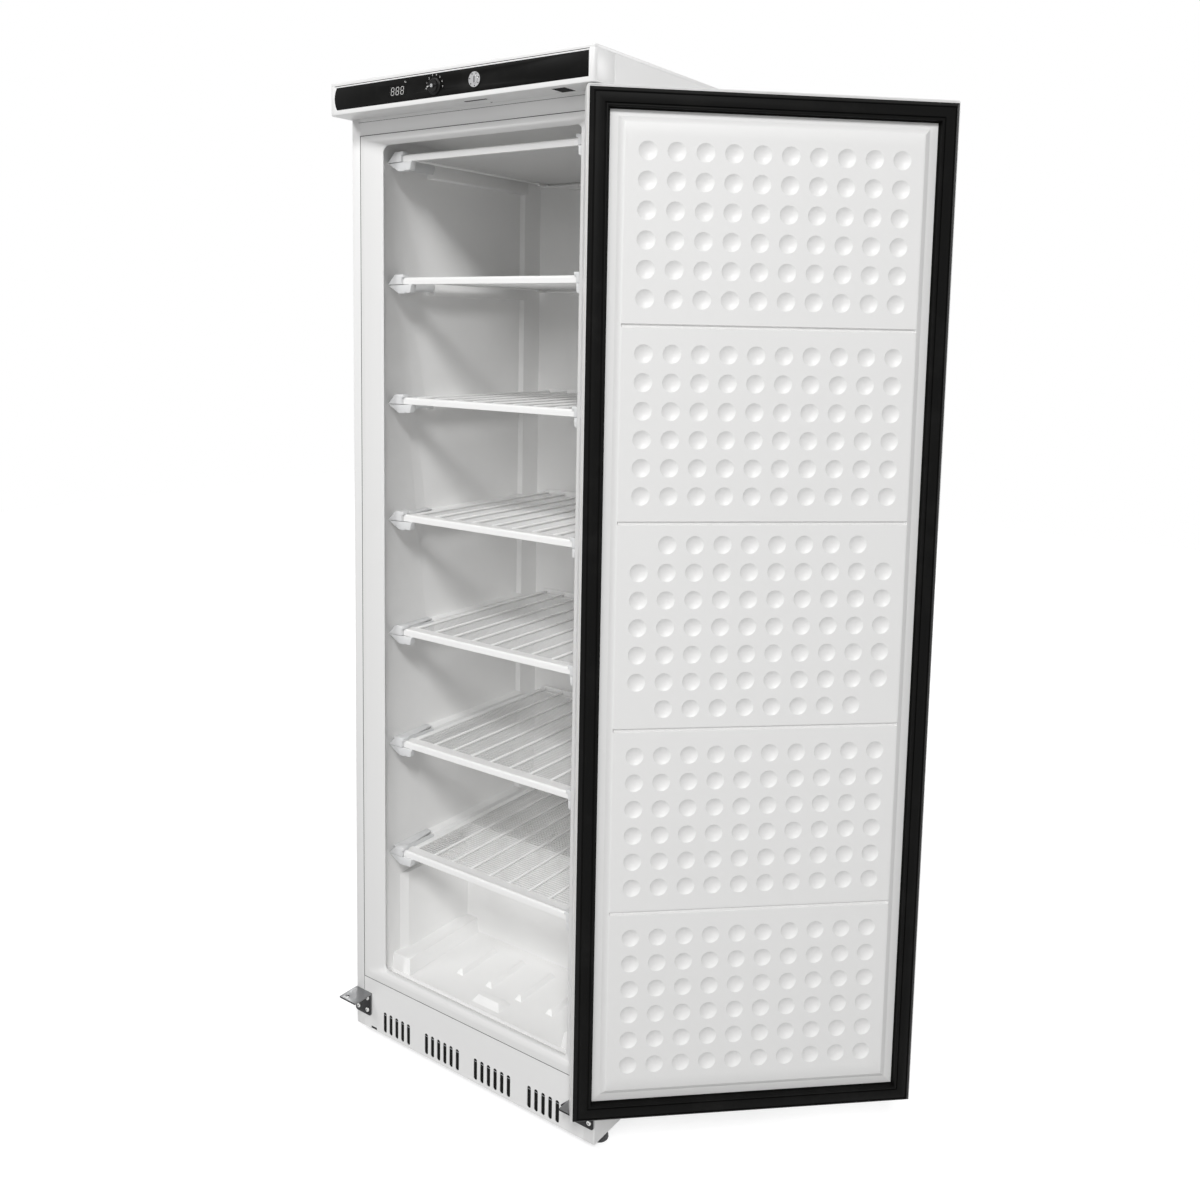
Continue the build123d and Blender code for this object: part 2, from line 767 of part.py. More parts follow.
shaft_in_knob = knob_back - knob_depth * 0.6
with BuildPart() as thermostat_shaft:
    with BuildSketch(upright(shaft_end)):
        with Locations((knob_x, knob_z)):
            Circle(shaft_radius)
    extrude(amount=shaft_end - shaft_in_knob)
thermostat_shaft.part.label = "thermostat_shaft"
export_step(thermostat_shaft.part, "parts/thermostat_shaft.step")

with BuildPart() as thermostat_knob:
    with BuildSketch(upright(knob_back)):
        with Locations((knob_x, knob_z)):
            RegularPolygon(knob_radius, 24)
    extrude(amount=knob_skirt)
    with BuildSketch(upright(knob_back - knob_skirt)):
        with Locations((knob_x, knob_z)):
            RegularPolygon(knob_radius - 2.5, 24)
    extrude(amount=knob_depth - 2 * knob_skirt, taper=8)
    with BuildSketch(upright(knob_back - knob_skirt)):
        with Locations((knob_x, knob_z)):
            Rectangle(2 * knob_radius - 3, knob_grip_width, rotation=10)
    extrude(amount=knob_depth - knob_skirt)
    with BuildSketch(upright(knob_back)):
        with Locations((knob_x, knob_z)):
            Circle(shaft_radius)
    extrude(amount=knob_back - shaft_in_knob, mode=Mode.SUBTRACT)
thermostat_knob.part.label = "thermostat_knob"
export_step(thermostat_knob.part, "parts/thermostat_knob.step")

# Lock: chromed housing and nut, turning barrel, and the cam that drops into the door
housing_back = cam_front - seat_gap
lock_face = panel_face - 2
with BuildPart() as lock_housing:
    with BuildSketch(upright(lock_face)):
        with Locations((lock_x, lock_z)):
            RegularPolygon(lock_flange_radius, 24)
    extrude(amount=-(panel_face - lock_face))
    with BuildSketch(upright(panel_face)):
        with Locations((lock_x, lock_z)):
            RegularPolygon(lock_body_radius, 16)
    extrude(amount=-(housing_back - panel_face))
    with BuildSketch(upright(lock_face)):
        with Locations((lock_x, lock_z)):
            Circle(barrel_radius + turn_clearance)
    extrude(amount=-(housing_back - lock_face), mode=Mode.SUBTRACT)
lock_housing.part.label = "lock_housing"
export_step(lock_housing.part, "parts/lock_housing.step")

with BuildPart() as lock_nut:
    with BuildSketch(upright(fascia_inside)):
        with Locations((lock_x, lock_z)):
            RegularPolygon(lock_flange_radius, 6)
            Circle(lock_body_radius, mode=Mode.SUBTRACT)
    extrude(amount=-4)
lock_nut.part.label = "lock_nut"
export_step(lock_nut.part, "parts/lock_nut.step")

key_slot_width = 1.8
key_slot_height = 8.0
barrel_tail = 4.0
cam_back = cam_front + cam_thickness
with BuildPart() as lock_barrel:
    with BuildSketch(upright(lock_face - 0.5)):
        with Locations((lock_x, lock_z)):
            Circle(barrel_radius)
    extrude(amount=-(housing_back - lock_face + 0.5))
    with BuildSketch(upright(housing_back)):
        with Locations((lock_x, lock_z)):
            Circle(barrel_tail)
    extrude(amount=-(cam_back + 1 - housing_back))
    with BuildSketch(upright(lock_face - 0.5)):
        with Locations((lock_x, lock_z)):
            Rectangle(key_slot_width, key_slot_height)
    extrude(amount=-6, mode=Mode.SUBTRACT)
lock_barrel.part.label = "lock_barrel"
export_step(lock_barrel.part, "parts/lock_barrel.step")

with BuildPart() as lock_cam:
    with BuildSketch(upright(cam_front)):
        with Locations((lock_x - (cam_length - cam_width / 2) / 2, lock_z)):
            SlotOverall(cam_length + cam_width / 2, cam_width)
        with Locations((lock_x, lock_z)):
            Circle(barrel_tail, mode=Mode.SUBTRACT)
    extrude(amount=-cam_thickness)
lock_cam.part.label = "lock_cam"
export_step(lock_cam.part, "parts/lock_cam.step")

# Door skin: a folded steel pan, with holes for the bushes, the lock and the handle
skin_height = door_top - door_bottom
skin_middle = (door_top + door_bottom) / 2
keeper_width = lock_slot_right - lock_slot_left
keeper_x = (lock_slot_left + lock_slot_right) / 2
keeper_y = cam_front + cam_thickness / 2
keeper_opening = cam_thickness + 5
keeper_depth = lock_z - cam_length - 4
handle_y = (door_front + door_back) / 2 - 1
with BuildPart() as door_outer_skin:
    with BuildSketch(Plane.XY.offset(door_bottom)) as skin_plan:
        with Locations((0, (door_front + door_back) / 2)):
            Rectangle(2 * door_half, door_depth)
        fillet(skin_plan.vertices().group_by(Axis.Y)[0], door_bend)
    extrude(amount=skin_height)
    with BuildSketch(Plane.XY.offset(door_bottom + steel)) as skin_hollow:
        with Locations((0, (door_front + steel + door_back) / 2)):
            Rectangle(2 * door_half - 2 * steel, door_depth - steel)
        fillet(skin_hollow.vertices().group_by(Axis.Y)[0], door_bend - steel)
    extrude(amount=skin_height - 2 * steel, mode=Mode.SUBTRACT)
    with BuildSketch(Plane.XY.offset(door_bottom)):
        with Locations((pin_x, pin_y)):
            RegularPolygon(bush_radius, 12)
    extrude(amount=skin_height, mode=Mode.SUBTRACT)
    with BuildSketch(Plane.XY.offset(door_top - steel)):
        with Locations((keeper_x, keeper_y)):
            Rectangle(keeper_width, keeper_opening)
    extrude(amount=steel, mode=Mode.SUBTRACT)
    with BuildSketch(Plane.YZ.offset(-door_half)):
        with Locations((handle_y, handle_middle)):
            Rectangle(handle_width, handle_length)
    extrude(amount=steel, mode=Mode.SUBTRACT)

# Door lining: raised field with grooves and rows of round dimples
lining_face = door_back
lining_back = lining_face - plastic
gasket_half = door_half - gasket_inset
gasket_top = door_top - gasket_inset
gasket_bottom = door_bottom + gasket_inset
field_half = gasket_half - field_inset
field_top = gasket_top - field_inset + 3
field_bottom = gasket_bottom + field_inset
plateau_bottom = field_bottom + field_slope_run
plateau_top = field_top - field_slope_run
outer_panel_height = (plateau_top - plateau_bottom) * outer_panel_share
middle_panel_height = (plateau_top - plateau_bottom) * middle_panel_share
dimple_pitch = 2 * (field_half - field_slope_run) / (dimple_columns + 0.62)
dimple_radius = dimple_pitch / 3
field_face = lining_face + field_rise
groove_heights = [plateau_bottom + outer_panel_height]
groove_heights.append(groove_heights[-1] + outer_panel_height)
groove_heights.append(groove_heights[-1] + middle_panel_height)
groove_heights.append(groove_heights[-1] + outer_panel_height)
field_slope = degrees(atan2(field_slope_run, field_rise))

# One dimple: a shallow dish that narrows to its middle
with BuildPart() as dimple:
    with BuildSketch(upright(field_face)) as dimple_rim:
        RegularPolygon(dimple_radius, dimple_sides, rotation=180 / dimple_sides)
    dimple_bottom = Vertex(0, field_face - dimple_depth, 0)
    loft(sections=[dimple_rim.sketch.face(), dimple_bottom])

row_edges = [plateau_bottom] + groove_heights + [plateau_top]
dimple_spots = []
for panel, (low, high) in enumerate(zip(row_edges, row_edges[1:])):
    is_middle = panel == 2
    rows = dimple_rows + 1 if is_middle else dimple_rows
    for row in range(rows):
        short_row = is_middle and row in (0, rows - 1)
        columns = dimple_columns - 2 if short_row else dimple_columns
        dimple_z = (low + high) / 2 + (row - (rows - 1) / 2) * dimple_pitch
        for column in range(columns):
            dimple_x = (column - (columns - 1) / 2) * dimple_pitch
            dimple_spots.append((dimple_x, 0, dimple_z))

with BuildPart() as door_inner_panel:
    with BuildSketch(upright(lining_face)):
        with Locations((0, skin_middle)):
            Rectangle(2 * door_half - 2 * steel, skin_height - 2 * steel)
    extrude(amount=plastic)
    with BuildSketch(upright(lining_face)):
        with Locations((0, (field_top + field_bottom) / 2)):
            Rectangle(2 * field_half, field_top - field_bottom)
    extrude(amount=-field_rise, taper=field_slope)
    with BuildSketch(upright(field_face)):
        for groove_z in groove_heights:
            with Locations((0, groove_z)):
                Rectangle(2 * (field_half - field_slope_run) - groove_width, groove_width)
    extrude(amount=groove_depth, mode=Mode.SUBTRACT)
    with Locations(*dimple_spots):
        add(dimple.part, mode=Mode.SUBTRACT)

# Magnetic gasket round the lining
with BuildPart() as door_gasket:
    with BuildSketch(upright(-gasket_gap)):
        with Locations((0, skin_middle)):
            Rectangle(2 * gasket_half, gasket_top - gasket_bottom)
            Rectangle(
                2 * (gasket_half - gasket_width),
                gasket_top - gasket_bottom - 2 * gasket_width,
                mode=Mode.SUBTRACT,
            )
    extrude(amount=-gasket_gap - lining_face)
    face_edges = door_gasket.faces().sort_by(Axis.Y)[-1].outer_wire().edges()
    fillet(face_edges, gasket_round)
    with BuildSketch(upright(-gasket_gap)):
        with Locations((0, skin_middle)):
            Rectangle(
                2 * (gasket_half - gasket_groove_inset),
                gasket_top - gasket_bottom - 2 * gasket_groove_inset,
            )
            Rectangle(
                2 * (gasket_half - gasket_groove_inset - gasket_groove_width),
                gasket_top - gasket_bottom - 2 * (gasket_groove_inset + gasket_groove_width),
                mode=Mode.SUBTRACT,
            )
    extrude(amount=gasket_groove_depth, mode=Mode.SUBTRACT)

# Finger recess in the free edge, and the cup that the lock cam drops into
with BuildPart() as door_handle_insert:
    with BuildSketch(Plane.YZ.offset(-door_half)):
        with Locations((handle_y, handle_middle)):
            Rectangle(handle_width, handle_length)
    extrude(amount=handle_depth + handle_wall)
    with BuildSketch(Plane.YZ.offset(-door_half)) as finger_room:
        with Locations((handle_y, handle_middle)):
            RectangleRounded(handle_width - 2 * handle_wall, handle_length - 2 * handle_wall, 4)
    extrude(amount=handle_depth, mode=Mode.SUBTRACT)

keeper_wall = 1.5
with BuildPart() as door_lock_keeper:
    with BuildSketch(Plane.XY.offset(keeper_depth - keeper_wall)):
        with Locations((keeper_x, keeper_y)):
            Rectangle(keeper_width, keeper_opening)
    extrude(amount=door_top - keeper_depth + keeper_wall)
    with BuildSketch(Plane.XY.offset(keeper_depth)):
        with Locations((keeper_x, keeper_y)):
            Rectangle(keeper_width - 2 * keeper_wall, keeper_opening - 2 * keeper_wall)
    extrude(amount=door_top - keeper_depth, mode=Mode.SUBTRACT)

# Flanged bushes that turn on the hinge pins
bush_length = pin_engagement + 5
bush_flange = door_bottom - bracket_top - seat_gap
pin_spot = (pin_x, pin_y)
with BuildPart() as door_bushes:
    with BuildSketch(Plane.XY.offset(door_top)):
        with Locations(pin_spot):
            RegularPolygon(bush_radius, 12)
    extrude(amount=-bush_length)
    with BuildSketch(Plane.XY.offset(door_top)):
        with Locations(pin_spot):
            RegularPolygon(bush_flange_radius, 12)
    extrude(amount=bush_flange)
    with BuildSketch(Plane.XY.offset(door_bottom)):
        with Locations(pin_spot):
            RegularPolygon(bush_radius, 12)
    extrude(amount=bush_length)
    with BuildSketch(Plane.XY.offset(door_bottom)):
        with Locations(pin_spot):
            RegularPolygon(bush_flange_radius, 12)
    extrude(amount=-bush_flange)
    with BuildSketch(Plane.XY.offset(door_bottom - bush_flange)):
        with Locations(pin_spot):
            Circle(pin_radius + pin_clearance)
    extrude(amount=door_top - door_bottom + 2 * bush_flange, mode=Mode.SUBTRACT)

with BuildPart() as door_foam:
    with BuildSketch(Plane.XY.offset(door_bottom + steel)) as foam_plan:
        with Locations((0, (door_front + steel + lining_back) / 2)):
            Rectangle(2 * door_half - 2 * steel, lining_back - door_front - steel)
        fillet(foam_plan.vertices().group_by(Axis.Y)[0], door_bend - steel)
    extrude(amount=skin_height - 2 * steel)
    with BuildSketch(Plane.YZ.offset(-door_half)):
        with Locations((handle_y, handle_middle)):
            Rectangle(handle_width, handle_length)
    extrude(amount=handle_depth + handle_wall, mode=Mode.SUBTRACT)
    with BuildSketch(Plane.XY.offset(keeper_depth - keeper_wall)):
        with Locations((keeper_x, keeper_y)):
            Rectangle(keeper_width, keeper_opening)
    extrude(amount=door_top - keeper_depth + keeper_wall, mode=Mode.SUBTRACT)
    with BuildSketch(Plane.XY.offset(door_bottom)):
        with Locations(pin_spot):
            RegularPolygon(bush_radius, 12)
    extrude(amount=bush_length, mode=Mode.SUBTRACT)
    with BuildSketch(Plane.XY.offset(door_top - bush_length)):
        with Locations(pin_spot):
            RegularPolygon(bush_radius, 12)
    extrude(amount=bush_length, mode=Mode.SUBTRACT)

# The door is drawn closed, then swung open about its pins
hinge_axis = Axis((pin_x, pin_y, 0), (0, 0, 1))
door_pieces = {
    "door_outer_skin": door_outer_skin,
    "door_inner_panel": door_inner_panel,
    "door_gasket": door_gasket,
    "door_handle_insert": door_handle_insert,
    "door_lock_keeper": door_lock_keeper,
    "door_bushes": door_bushes,
    "door_foam": door_foam,
}
for name, piece in door_pieces.items():
    swung = piece.part.rotate(hinge_axis, door_opened)
    swung.label = name
    export_step(swung, f"parts/{name}.step")

# Top hinge: an angle plate inside the canopy with its pin
hinge_plate_left = pin_x - 32
hinge_plate_right = half_width - plastic - seat_gap
hinge_plate_z = canopy_underside + plastic
hinge_plate_height = 38.0
with BuildPart() as top_hinge_bracket:
    with BuildSketch(Plane.YZ.offset(hinge_plate_left)):
        with BuildLine():
            Polyline(
                (0, hinge_plate_z),
                (-bracket_reach, hinge_plate_z),
                (-bracket_reach, hinge_plate_z + bracket_plate),
                (-bracket_plate, hinge_plate_z + bracket_plate),
                (-bracket_plate, hinge_plate_z + hinge_plate_height),
                (0, hinge_plate_z + hinge_plate_height),
                close=True,
            )
        make_face()
    extrude(amount=hinge_plate_right - hinge_plate_left)
    with BuildSketch(Plane.XY.offset(hinge_plate_z)):
        with Locations(pin_spot):
            Circle(pin_radius)
    extrude(amount=bracket_plate, mode=Mode.SUBTRACT)
top_hinge_bracket.part.label = "top_hinge_bracket"
export_step(top_hinge_bracket.part, "parts/top_hinge_bracket.step")

# Lower hinge plates: the working one on the right, a spare on the left for a door hung the other way
screw_x = half_width - bracket_width / 2
screw_z = bracket_top - bracket_drop / 2
tip_length = 28.0
tip_width = 15.0
tip_drop = 6.0
for side, name in ((-1, "spare_hinge_bracket"), (1, "lower_hinge_bracket")):
    with BuildPart() as hinge_bracket:
        with BuildSketch(Plane.YZ.offset(side * (half_width - bracket_width))):
            with BuildLine():
                Polyline(
                    (0, bracket_top),
                    (-bracket_reach, bracket_top),
                    (-bracket_reach, bracket_top - bracket_plate),
                    (-bracket_plate, bracket_top - bracket_plate),
                    (-bracket_plate, bracket_top - bracket_drop),
                    (0, bracket_top - bracket_drop),
                    close=True,
                )
            make_face()
        extrude(amount=side * bracket_width)
        flange_corners = hinge_bracket.edges().filter_by(Axis.Y).group_by(Axis.Z)[0]
        fillet(flange_corners, bracket_corner)
        if side > 0:
            with BuildSketch(upright(0)):
                with BuildLine():
                    Polyline(
                        (half_width - bracket_width + bracket_corner, screw_z + tip_width),
                        (half_width - bracket_width, screw_z + tip_width),
                        (half_width - bracket_width - tip_length * 0.6, screw_z + tip_width * 0.7 - tip_drop),
                        (half_width - bracket_width - tip_length, screw_z - tip_drop),
                        (half_width - bracket_width - tip_length * 0.6, screw_z - tip_width * 0.7 - tip_drop),
                        (half_width - bracket_width, screw_z - tip_width),
                        (half_width - bracket_width + bracket_corner, screw_z - tip_width),
                        close=True,
                    )
                make_face()
            extrude(amount=bracket_plate)
        with BuildSketch(Plane.XY.offset(bracket_top)):
            with Locations((side * pin_x, pin_y)):
                Circle(pin_radius)
        extrude(amount=-bracket_plate, mode=Mode.SUBTRACT)
    hinge_bracket.part.label = name
    export_step(hinge_bracket.part, f"parts/{name}.step")

with BuildPart() as hinge_pins:
    with BuildSketch(Plane.XY.offset(door_top - pin_engagement)):
        with Locations(pin_spot):
            Circle(pin_radius)
    extrude(amount=hinge_plate_z + bracket_plate - door_top + pin_engagement)
    with BuildSketch(Plane.XY.offset(bracket_top - bracket_plate)):
        with Locations(pin_spot):
            Circle(pin_radius)
    extrude(amount=door_bottom + pin_engagement - bracket_top + bracket_plate)
hinge_pins.part.label = "hinge_pins"
export_step(hinge_pins.part, "parts/hinge_pins.step")

with BuildPart() as hinge_screws:
    for side in (-1, 1):
        with BuildSketch(upright(-bracket_plate)):
            with Locations((side * screw_x, screw_z)):
                with GridLocations(screw_spacing, screw_spacing, 2, 2):
                    RegularPolygon(screw_head_radius, 8)
        extrude(amount=screw_head_height)
hinge_screws.part.label = "hinge_screws"
export_step(hinge_screws.part, "parts/hinge_screws.step")

# Feet: a pad on a threaded stud, screwed into a nut in the channel
for spot, x, y in foot_spots:
    with BuildPart() as foot:
        with BuildSketch(Plane.XY):
            with Locations((x, y)):
                RegularPolygon(foot_pad_radius, 20)
        extrude(amount=foot_pad_height, taper=8)
        with BuildSketch(Plane.XY.offset(foot_pad_height)):
            with Locations((x, y)):
                RegularPolygon(nut_width / 2, 6)
        extrude(amount=ground_gap - foot_pad_height - seat_gap)
        with BuildSketch(Plane.XY.offset(foot_pad_height)):
            with Locations((x, y)):
                RegularPolygon(stud_radius, 12)
        extrude(amount=stud_top - foot_pad_height)
    foot.part.label = f"foot_{spot}"
    export_step(foot.part, f"parts/foot_{spot}.step")

with BuildPart() as foot_nuts:
    with BuildSketch(Plane.XY.offset(ground_gap + steel)):
        for spot, x, y in foot_spots:
            with Locations((x, y)):
                RegularPolygon(nut_width / 2, 6)
                RegularPolygon(stud_radius + stud_clearance, 12, mode=Mode.SUBTRACT)
    extrude(amount=nut_height)
foot_nuts.part.label = "foot_nuts"
export_step(foot_nuts.part, "parts/foot_nuts.step")

# Machine bay: compressor on rubber grommets, relay box, filter, pipes, inlet
compressor_x = 70.0
compressor_y = cabinet_depth - 105
compressor_length = 200.0
compressor_width = 150.0
compressor_height = 165.0
grommet_height = 14.0
grommet_radius = 11.0
grommet_spacing_x = 170.0
grommet_spacing_y = 100.0
compressor_plate = 3.0
plate_z = ground_gap + steel + grommet_height
# Sections of the welded shell: height and breadth as shares, over an oval outline
shell_profile = [(0, 0.80), (0.10, 0.95), (0.34, 1), (0.62, 0.99), (0.84, 0.84), (0.96, 0.55), (1, 0.30)]
shell_turns = [radians(22.5 * step) for step in range(16)]
shell_outline = [(compressor_length / 2 * cos(turn), compressor_width / 2 * sin(turn)) for turn in shell_turns]
shell_z = plate_z + compressor_plate
with BuildPart() as compressor:
    with BuildSketch(Plane.XY.offset(plate_z)):
        with Locations((compressor_x, compressor_y)):
            RectangleRounded(grommet_spacing_x + 30, grommet_spacing_y + 30, 12)
    extrude(amount=compressor_plate)
    for rise, spread in shell_profile:
        with BuildSketch(Plane.XY.offset(shell_z + rise * compressor_height)):
            with BuildLine():
                Polyline(
                    *[(compressor_x + spread * x, compressor_y + spread * y) for x, y in shell_outline],
                    close=True,
                )
            make_face()
    loft(ruled=True)
compressor.part.label = "compressor"
export_step(compressor.part, "parts/compressor.step")

with BuildPart() as compressor_grommets:
    with BuildSketch(Plane.XY.offset(ground_gap + steel)):
        with Locations((compressor_x, compressor_y)):
            with GridLocations(grommet_spacing_x, grommet_spacing_y, 2, 2):
                RegularPolygon(grommet_radius, 12)
    extrude(amount=grommet_height)
compressor_grommets.part.label = "compressor_grommets"
export_step(compressor_grommets.part, "parts/compressor_grommets.step")

relay_length = 44.0
relay_width = 56.0
relay_height = 62.0
relay_z = 110.0
with BuildPart() as relay_box:
    with BuildSketch(Plane.XY.offset(relay_z)):
        with Locations((compressor_x - (compressor_length + relay_length) / 2, compressor_y)):
            Rectangle(relay_length, relay_width)
    extrude(amount=relay_height)
relay_box.part.label = "relay_box"
export_step(relay_box.part, "parts/relay_box.step")

# Condenser behind the back panel: one tube folded to and fro, with upright wires
condenser_radius = 3.0
condenser_width = cabinet_width - 155
condenser_bottom = bay_top + 82
condenser_runs = 15
condenser_top = body_top - 194
condenser_pitch = (condenser_top - condenser_bottom) / (condenser_runs - 1)
condenser_wire = 2.0
condenser_wire_count = 20
condenser_standoff = 12.0
drier_radius = 9.0
drier_length = 90.0
drier_bottom = bay_top - 122
drier_top = drier_bottom + drier_length
condenser_y = cabinet_depth + condenser_standoff + condenser_radius
condenser_path_points = [(condenser_width / 2, condenser_y, drier_top)]
for run in range(condenser_runs):
    run_z = condenser_bottom + run * condenser_pitch
    start_x = condenser_width / 2 if run % 2 == 0 else -condenser_width / 2
    condenser_path_points.append((start_x, condenser_y, run_z))
    condenser_path_points.append((-start_x, condenser_y, run_z))
with BuildPart() as condenser_tube:
    with BuildLine() as condenser_path:
        Polyline(*condenser_path_points)
    with BuildSketch(Plane(condenser_path_points[0], x_dir=(1, 0, 0), z_dir=(0, 0, 1))):
        RegularPolygon(condenser_radius, 6)
    sweep(path=condenser_path.wire(), transition=Transition.RIGHT)
condenser_tube.part.label = "condenser_tube"
export_step(condenser_tube.part, "parts/condenser_tube.step")

with BuildPart() as condenser_wires:
    with BuildSketch(Plane.XY.offset(condenser_bottom - 12)):
        with Locations((0, condenser_y + condenser_radius + condenser_wire / 2)):
            with GridLocations((condenser_width - 40) / (condenser_wire_count - 1), 0, condenser_wire_count, 1):
                Rectangle(condenser_wire, condenser_wire)
    extrude(amount=condenser_top - condenser_bottom + 24)
condenser_wires.part.label = "condenser_wires"
export_step(condenser_wires.part, "parts/condenser_wires.step")

bracket_x = condenser_width / 2 - 30
holder_width = 24.0
holder_height = 16.0
with BuildPart() as condenser_brackets:
    for run in (1, condenser_runs - 2):
        run_z = condenser_bottom + run * condenser_pitch
        with BuildSketch(upright(cabinet_depth)):
            with Locations((-bracket_x, run_z), (bracket_x, run_z)):
                Rectangle(holder_width, holder_height)
        extrude(amount=-condenser_standoff)
condenser_brackets.part.label = "condenser_brackets"
export_step(condenser_brackets.part, "parts/condenser_brackets.step")

# Filter drier and the two pipes of the cooling circuit
pipe_outset = 12.0
pipe_crossing = bay_top - 68
discharge_x = compressor_x - 20
suction_x = compressor_x + 20
compressor_top = shell_z + compressor_height
pipe_column = -condenser_width / 2 - pipe_outset
discharge_points = [
    (discharge_x, compressor_y, compressor_top + seat_gap),
    (discharge_x, compressor_y, pipe_crossing),
    (pipe_column, compressor_y, pipe_crossing),
    (pipe_column, condenser_y, pipe_crossing),
    (pipe_column, condenser_y, condenser_top),
    (pipe_column + pipe_outset - seat_gap, condenser_y, condenser_top),
]
with BuildPart() as refrigerant_pipes:
    with BuildLine() as discharge_path:
        Polyline(*discharge_points)
    with BuildSketch(Plane(discharge_points[0], x_dir=(1, 0, 0), z_dir=(0, 0, 1))):
        RegularPolygon(condenser_radius, 6)
    sweep(path=discharge_path.wire(), transition=Transition.RIGHT)
    with BuildSketch(Plane.XY.offset(compressor_top + seat_gap)):
        with Locations((suction_x, compressor_y)):
            RegularPolygon(condenser_radius, 6)
    extrude(amount=bay_top - compressor_top - 2 * seat_gap)
refrigerant_pipes.part.label = "refrigerant_pipes"
export_step(refrigerant_pipes.part, "parts/refrigerant_pipes.step")

with BuildPart() as filter_drier:
    with BuildSketch(Plane.XY.offset(drier_bottom)):
        with Locations((condenser_width / 2, condenser_y)):
            RegularPolygon(drier_radius, 12)
    extrude(amount=drier_length - seat_gap)
    chamfer(filter_drier.edges().group_by(Axis.Z)[0] + filter_drier.edges().group_by(Axis.Z)[-1], 5)
filter_drier.part.label = "filter_drier"
export_step(filter_drier.part, "parts/filter_drier.step")

inlet_width = 32.0
inlet_height = 28.0
inlet_depth = 24.0
inlet_x = -190.0
with BuildPart() as power_inlet:
    with BuildSketch(upright(cabinet_depth - steel - inlet_depth)):
        with Locations((inlet_x, ground_gap + steel + inlet_height / 2)):
            Rectangle(inlet_width, inlet_height)
    extrude(amount=-inlet_depth)
    with BuildSketch(upright(cabinet_depth - steel)):
        with Locations((inlet_x, ground_gap + steel + inlet_height / 2)):
            Rectangle(inlet_width - 8, inlet_height - 8)
    extrude(amount=inlet_depth - 6, mode=Mode.SUBTRACT)
power_inlet.part.label = "power_inlet"
export_step(power_inlet.part, "parts/power_inlet.step")
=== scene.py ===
import json
from math import atan2, cos, pi, radians, sin, tau

import bmesh
import bpy
from mathutils import Matrix, Vector


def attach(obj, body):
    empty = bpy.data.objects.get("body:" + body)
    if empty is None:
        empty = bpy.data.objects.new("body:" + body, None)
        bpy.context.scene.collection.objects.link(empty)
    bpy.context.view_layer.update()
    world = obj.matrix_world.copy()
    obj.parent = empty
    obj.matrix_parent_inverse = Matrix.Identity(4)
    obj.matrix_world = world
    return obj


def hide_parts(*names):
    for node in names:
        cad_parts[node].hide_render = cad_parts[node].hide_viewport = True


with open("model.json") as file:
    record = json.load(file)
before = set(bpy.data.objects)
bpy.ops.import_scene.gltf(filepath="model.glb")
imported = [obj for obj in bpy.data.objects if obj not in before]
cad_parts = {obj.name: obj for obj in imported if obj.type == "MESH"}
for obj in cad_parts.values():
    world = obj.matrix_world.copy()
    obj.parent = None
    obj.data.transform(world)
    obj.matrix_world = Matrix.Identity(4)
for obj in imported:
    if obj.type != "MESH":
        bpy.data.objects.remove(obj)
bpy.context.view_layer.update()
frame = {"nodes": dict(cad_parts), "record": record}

print("frame loaded")

# Lengths are metres. The door's pieces are modelled shut and then swung open about the hinge line.

cameraLook = {
    "place": (1.33934, -1.47484, 1.42351),
    "turn": 0.60319,
    "tilt": -0.11066,
    "roll": 0.02040,
    "focalPixels": 1125.12,
    "centrePixels": (620.44, 454.78),
    "imageSize": (1200, 1181),
}


def addCamera(look):
    turn, tilt, roll = look["turn"], look["tilt"], look["roll"]
    ahead = Vector((-sin(turn) * cos(tilt), cos(turn) * cos(tilt), sin(tilt)))
    level = Vector((cos(turn), sin(turn), 0))
    above = level.cross(ahead)
    right = level * cos(roll) + above * sin(roll)
    up = above * cos(roll) - level * sin(roll)
    bpy.ops.object.camera_add()
    camera = bpy.context.object
    camera.matrix_world = Matrix((
        (right.x, up.x, -ahead.x, look["place"][0]),
        (right.y, up.y, -ahead.y, look["place"][1]),
        (right.z, up.z, -ahead.z, look["place"][2]),
        (0, 0, 0, 1),
    ))
    width, height = look["imageSize"]
    centreX, centreY = look["centrePixels"]
    lens = camera.data
    lens.sensor_fit = "HORIZONTAL"
    lens.sensor_width = 36
    lens.lens = look["focalPixels"] / width * 36
    lens.shift_x = (width / 2 - centreX) / width
    lens.shift_y = (centreY - height / 2) / width
    lens.clip_start = 0.05
    lens.clip_end = 60
    bpy.context.scene.camera = camera


addCamera(cameraLook)
print("camera placed")


# Shader maths: a socket that can be used in sums, and a maker of nodes in one tree
class Value:
    def __init__(self, maker, socket):
        self.maker, self.socket = maker, socket

    def sum(self, operation, first, second):
        return self.maker.node("ShaderNodeMath", {"operation": operation}, {0: first, 1: second})

    def __add__(self, other): return self.sum("ADD", self, other)
    def __radd__(self, other): return self.sum("ADD", other, self)
    def __mul__(self, other): return self.sum("MULTIPLY", self, other)
    def __rmul__(self, other): return self.sum("MULTIPLY", other, self)


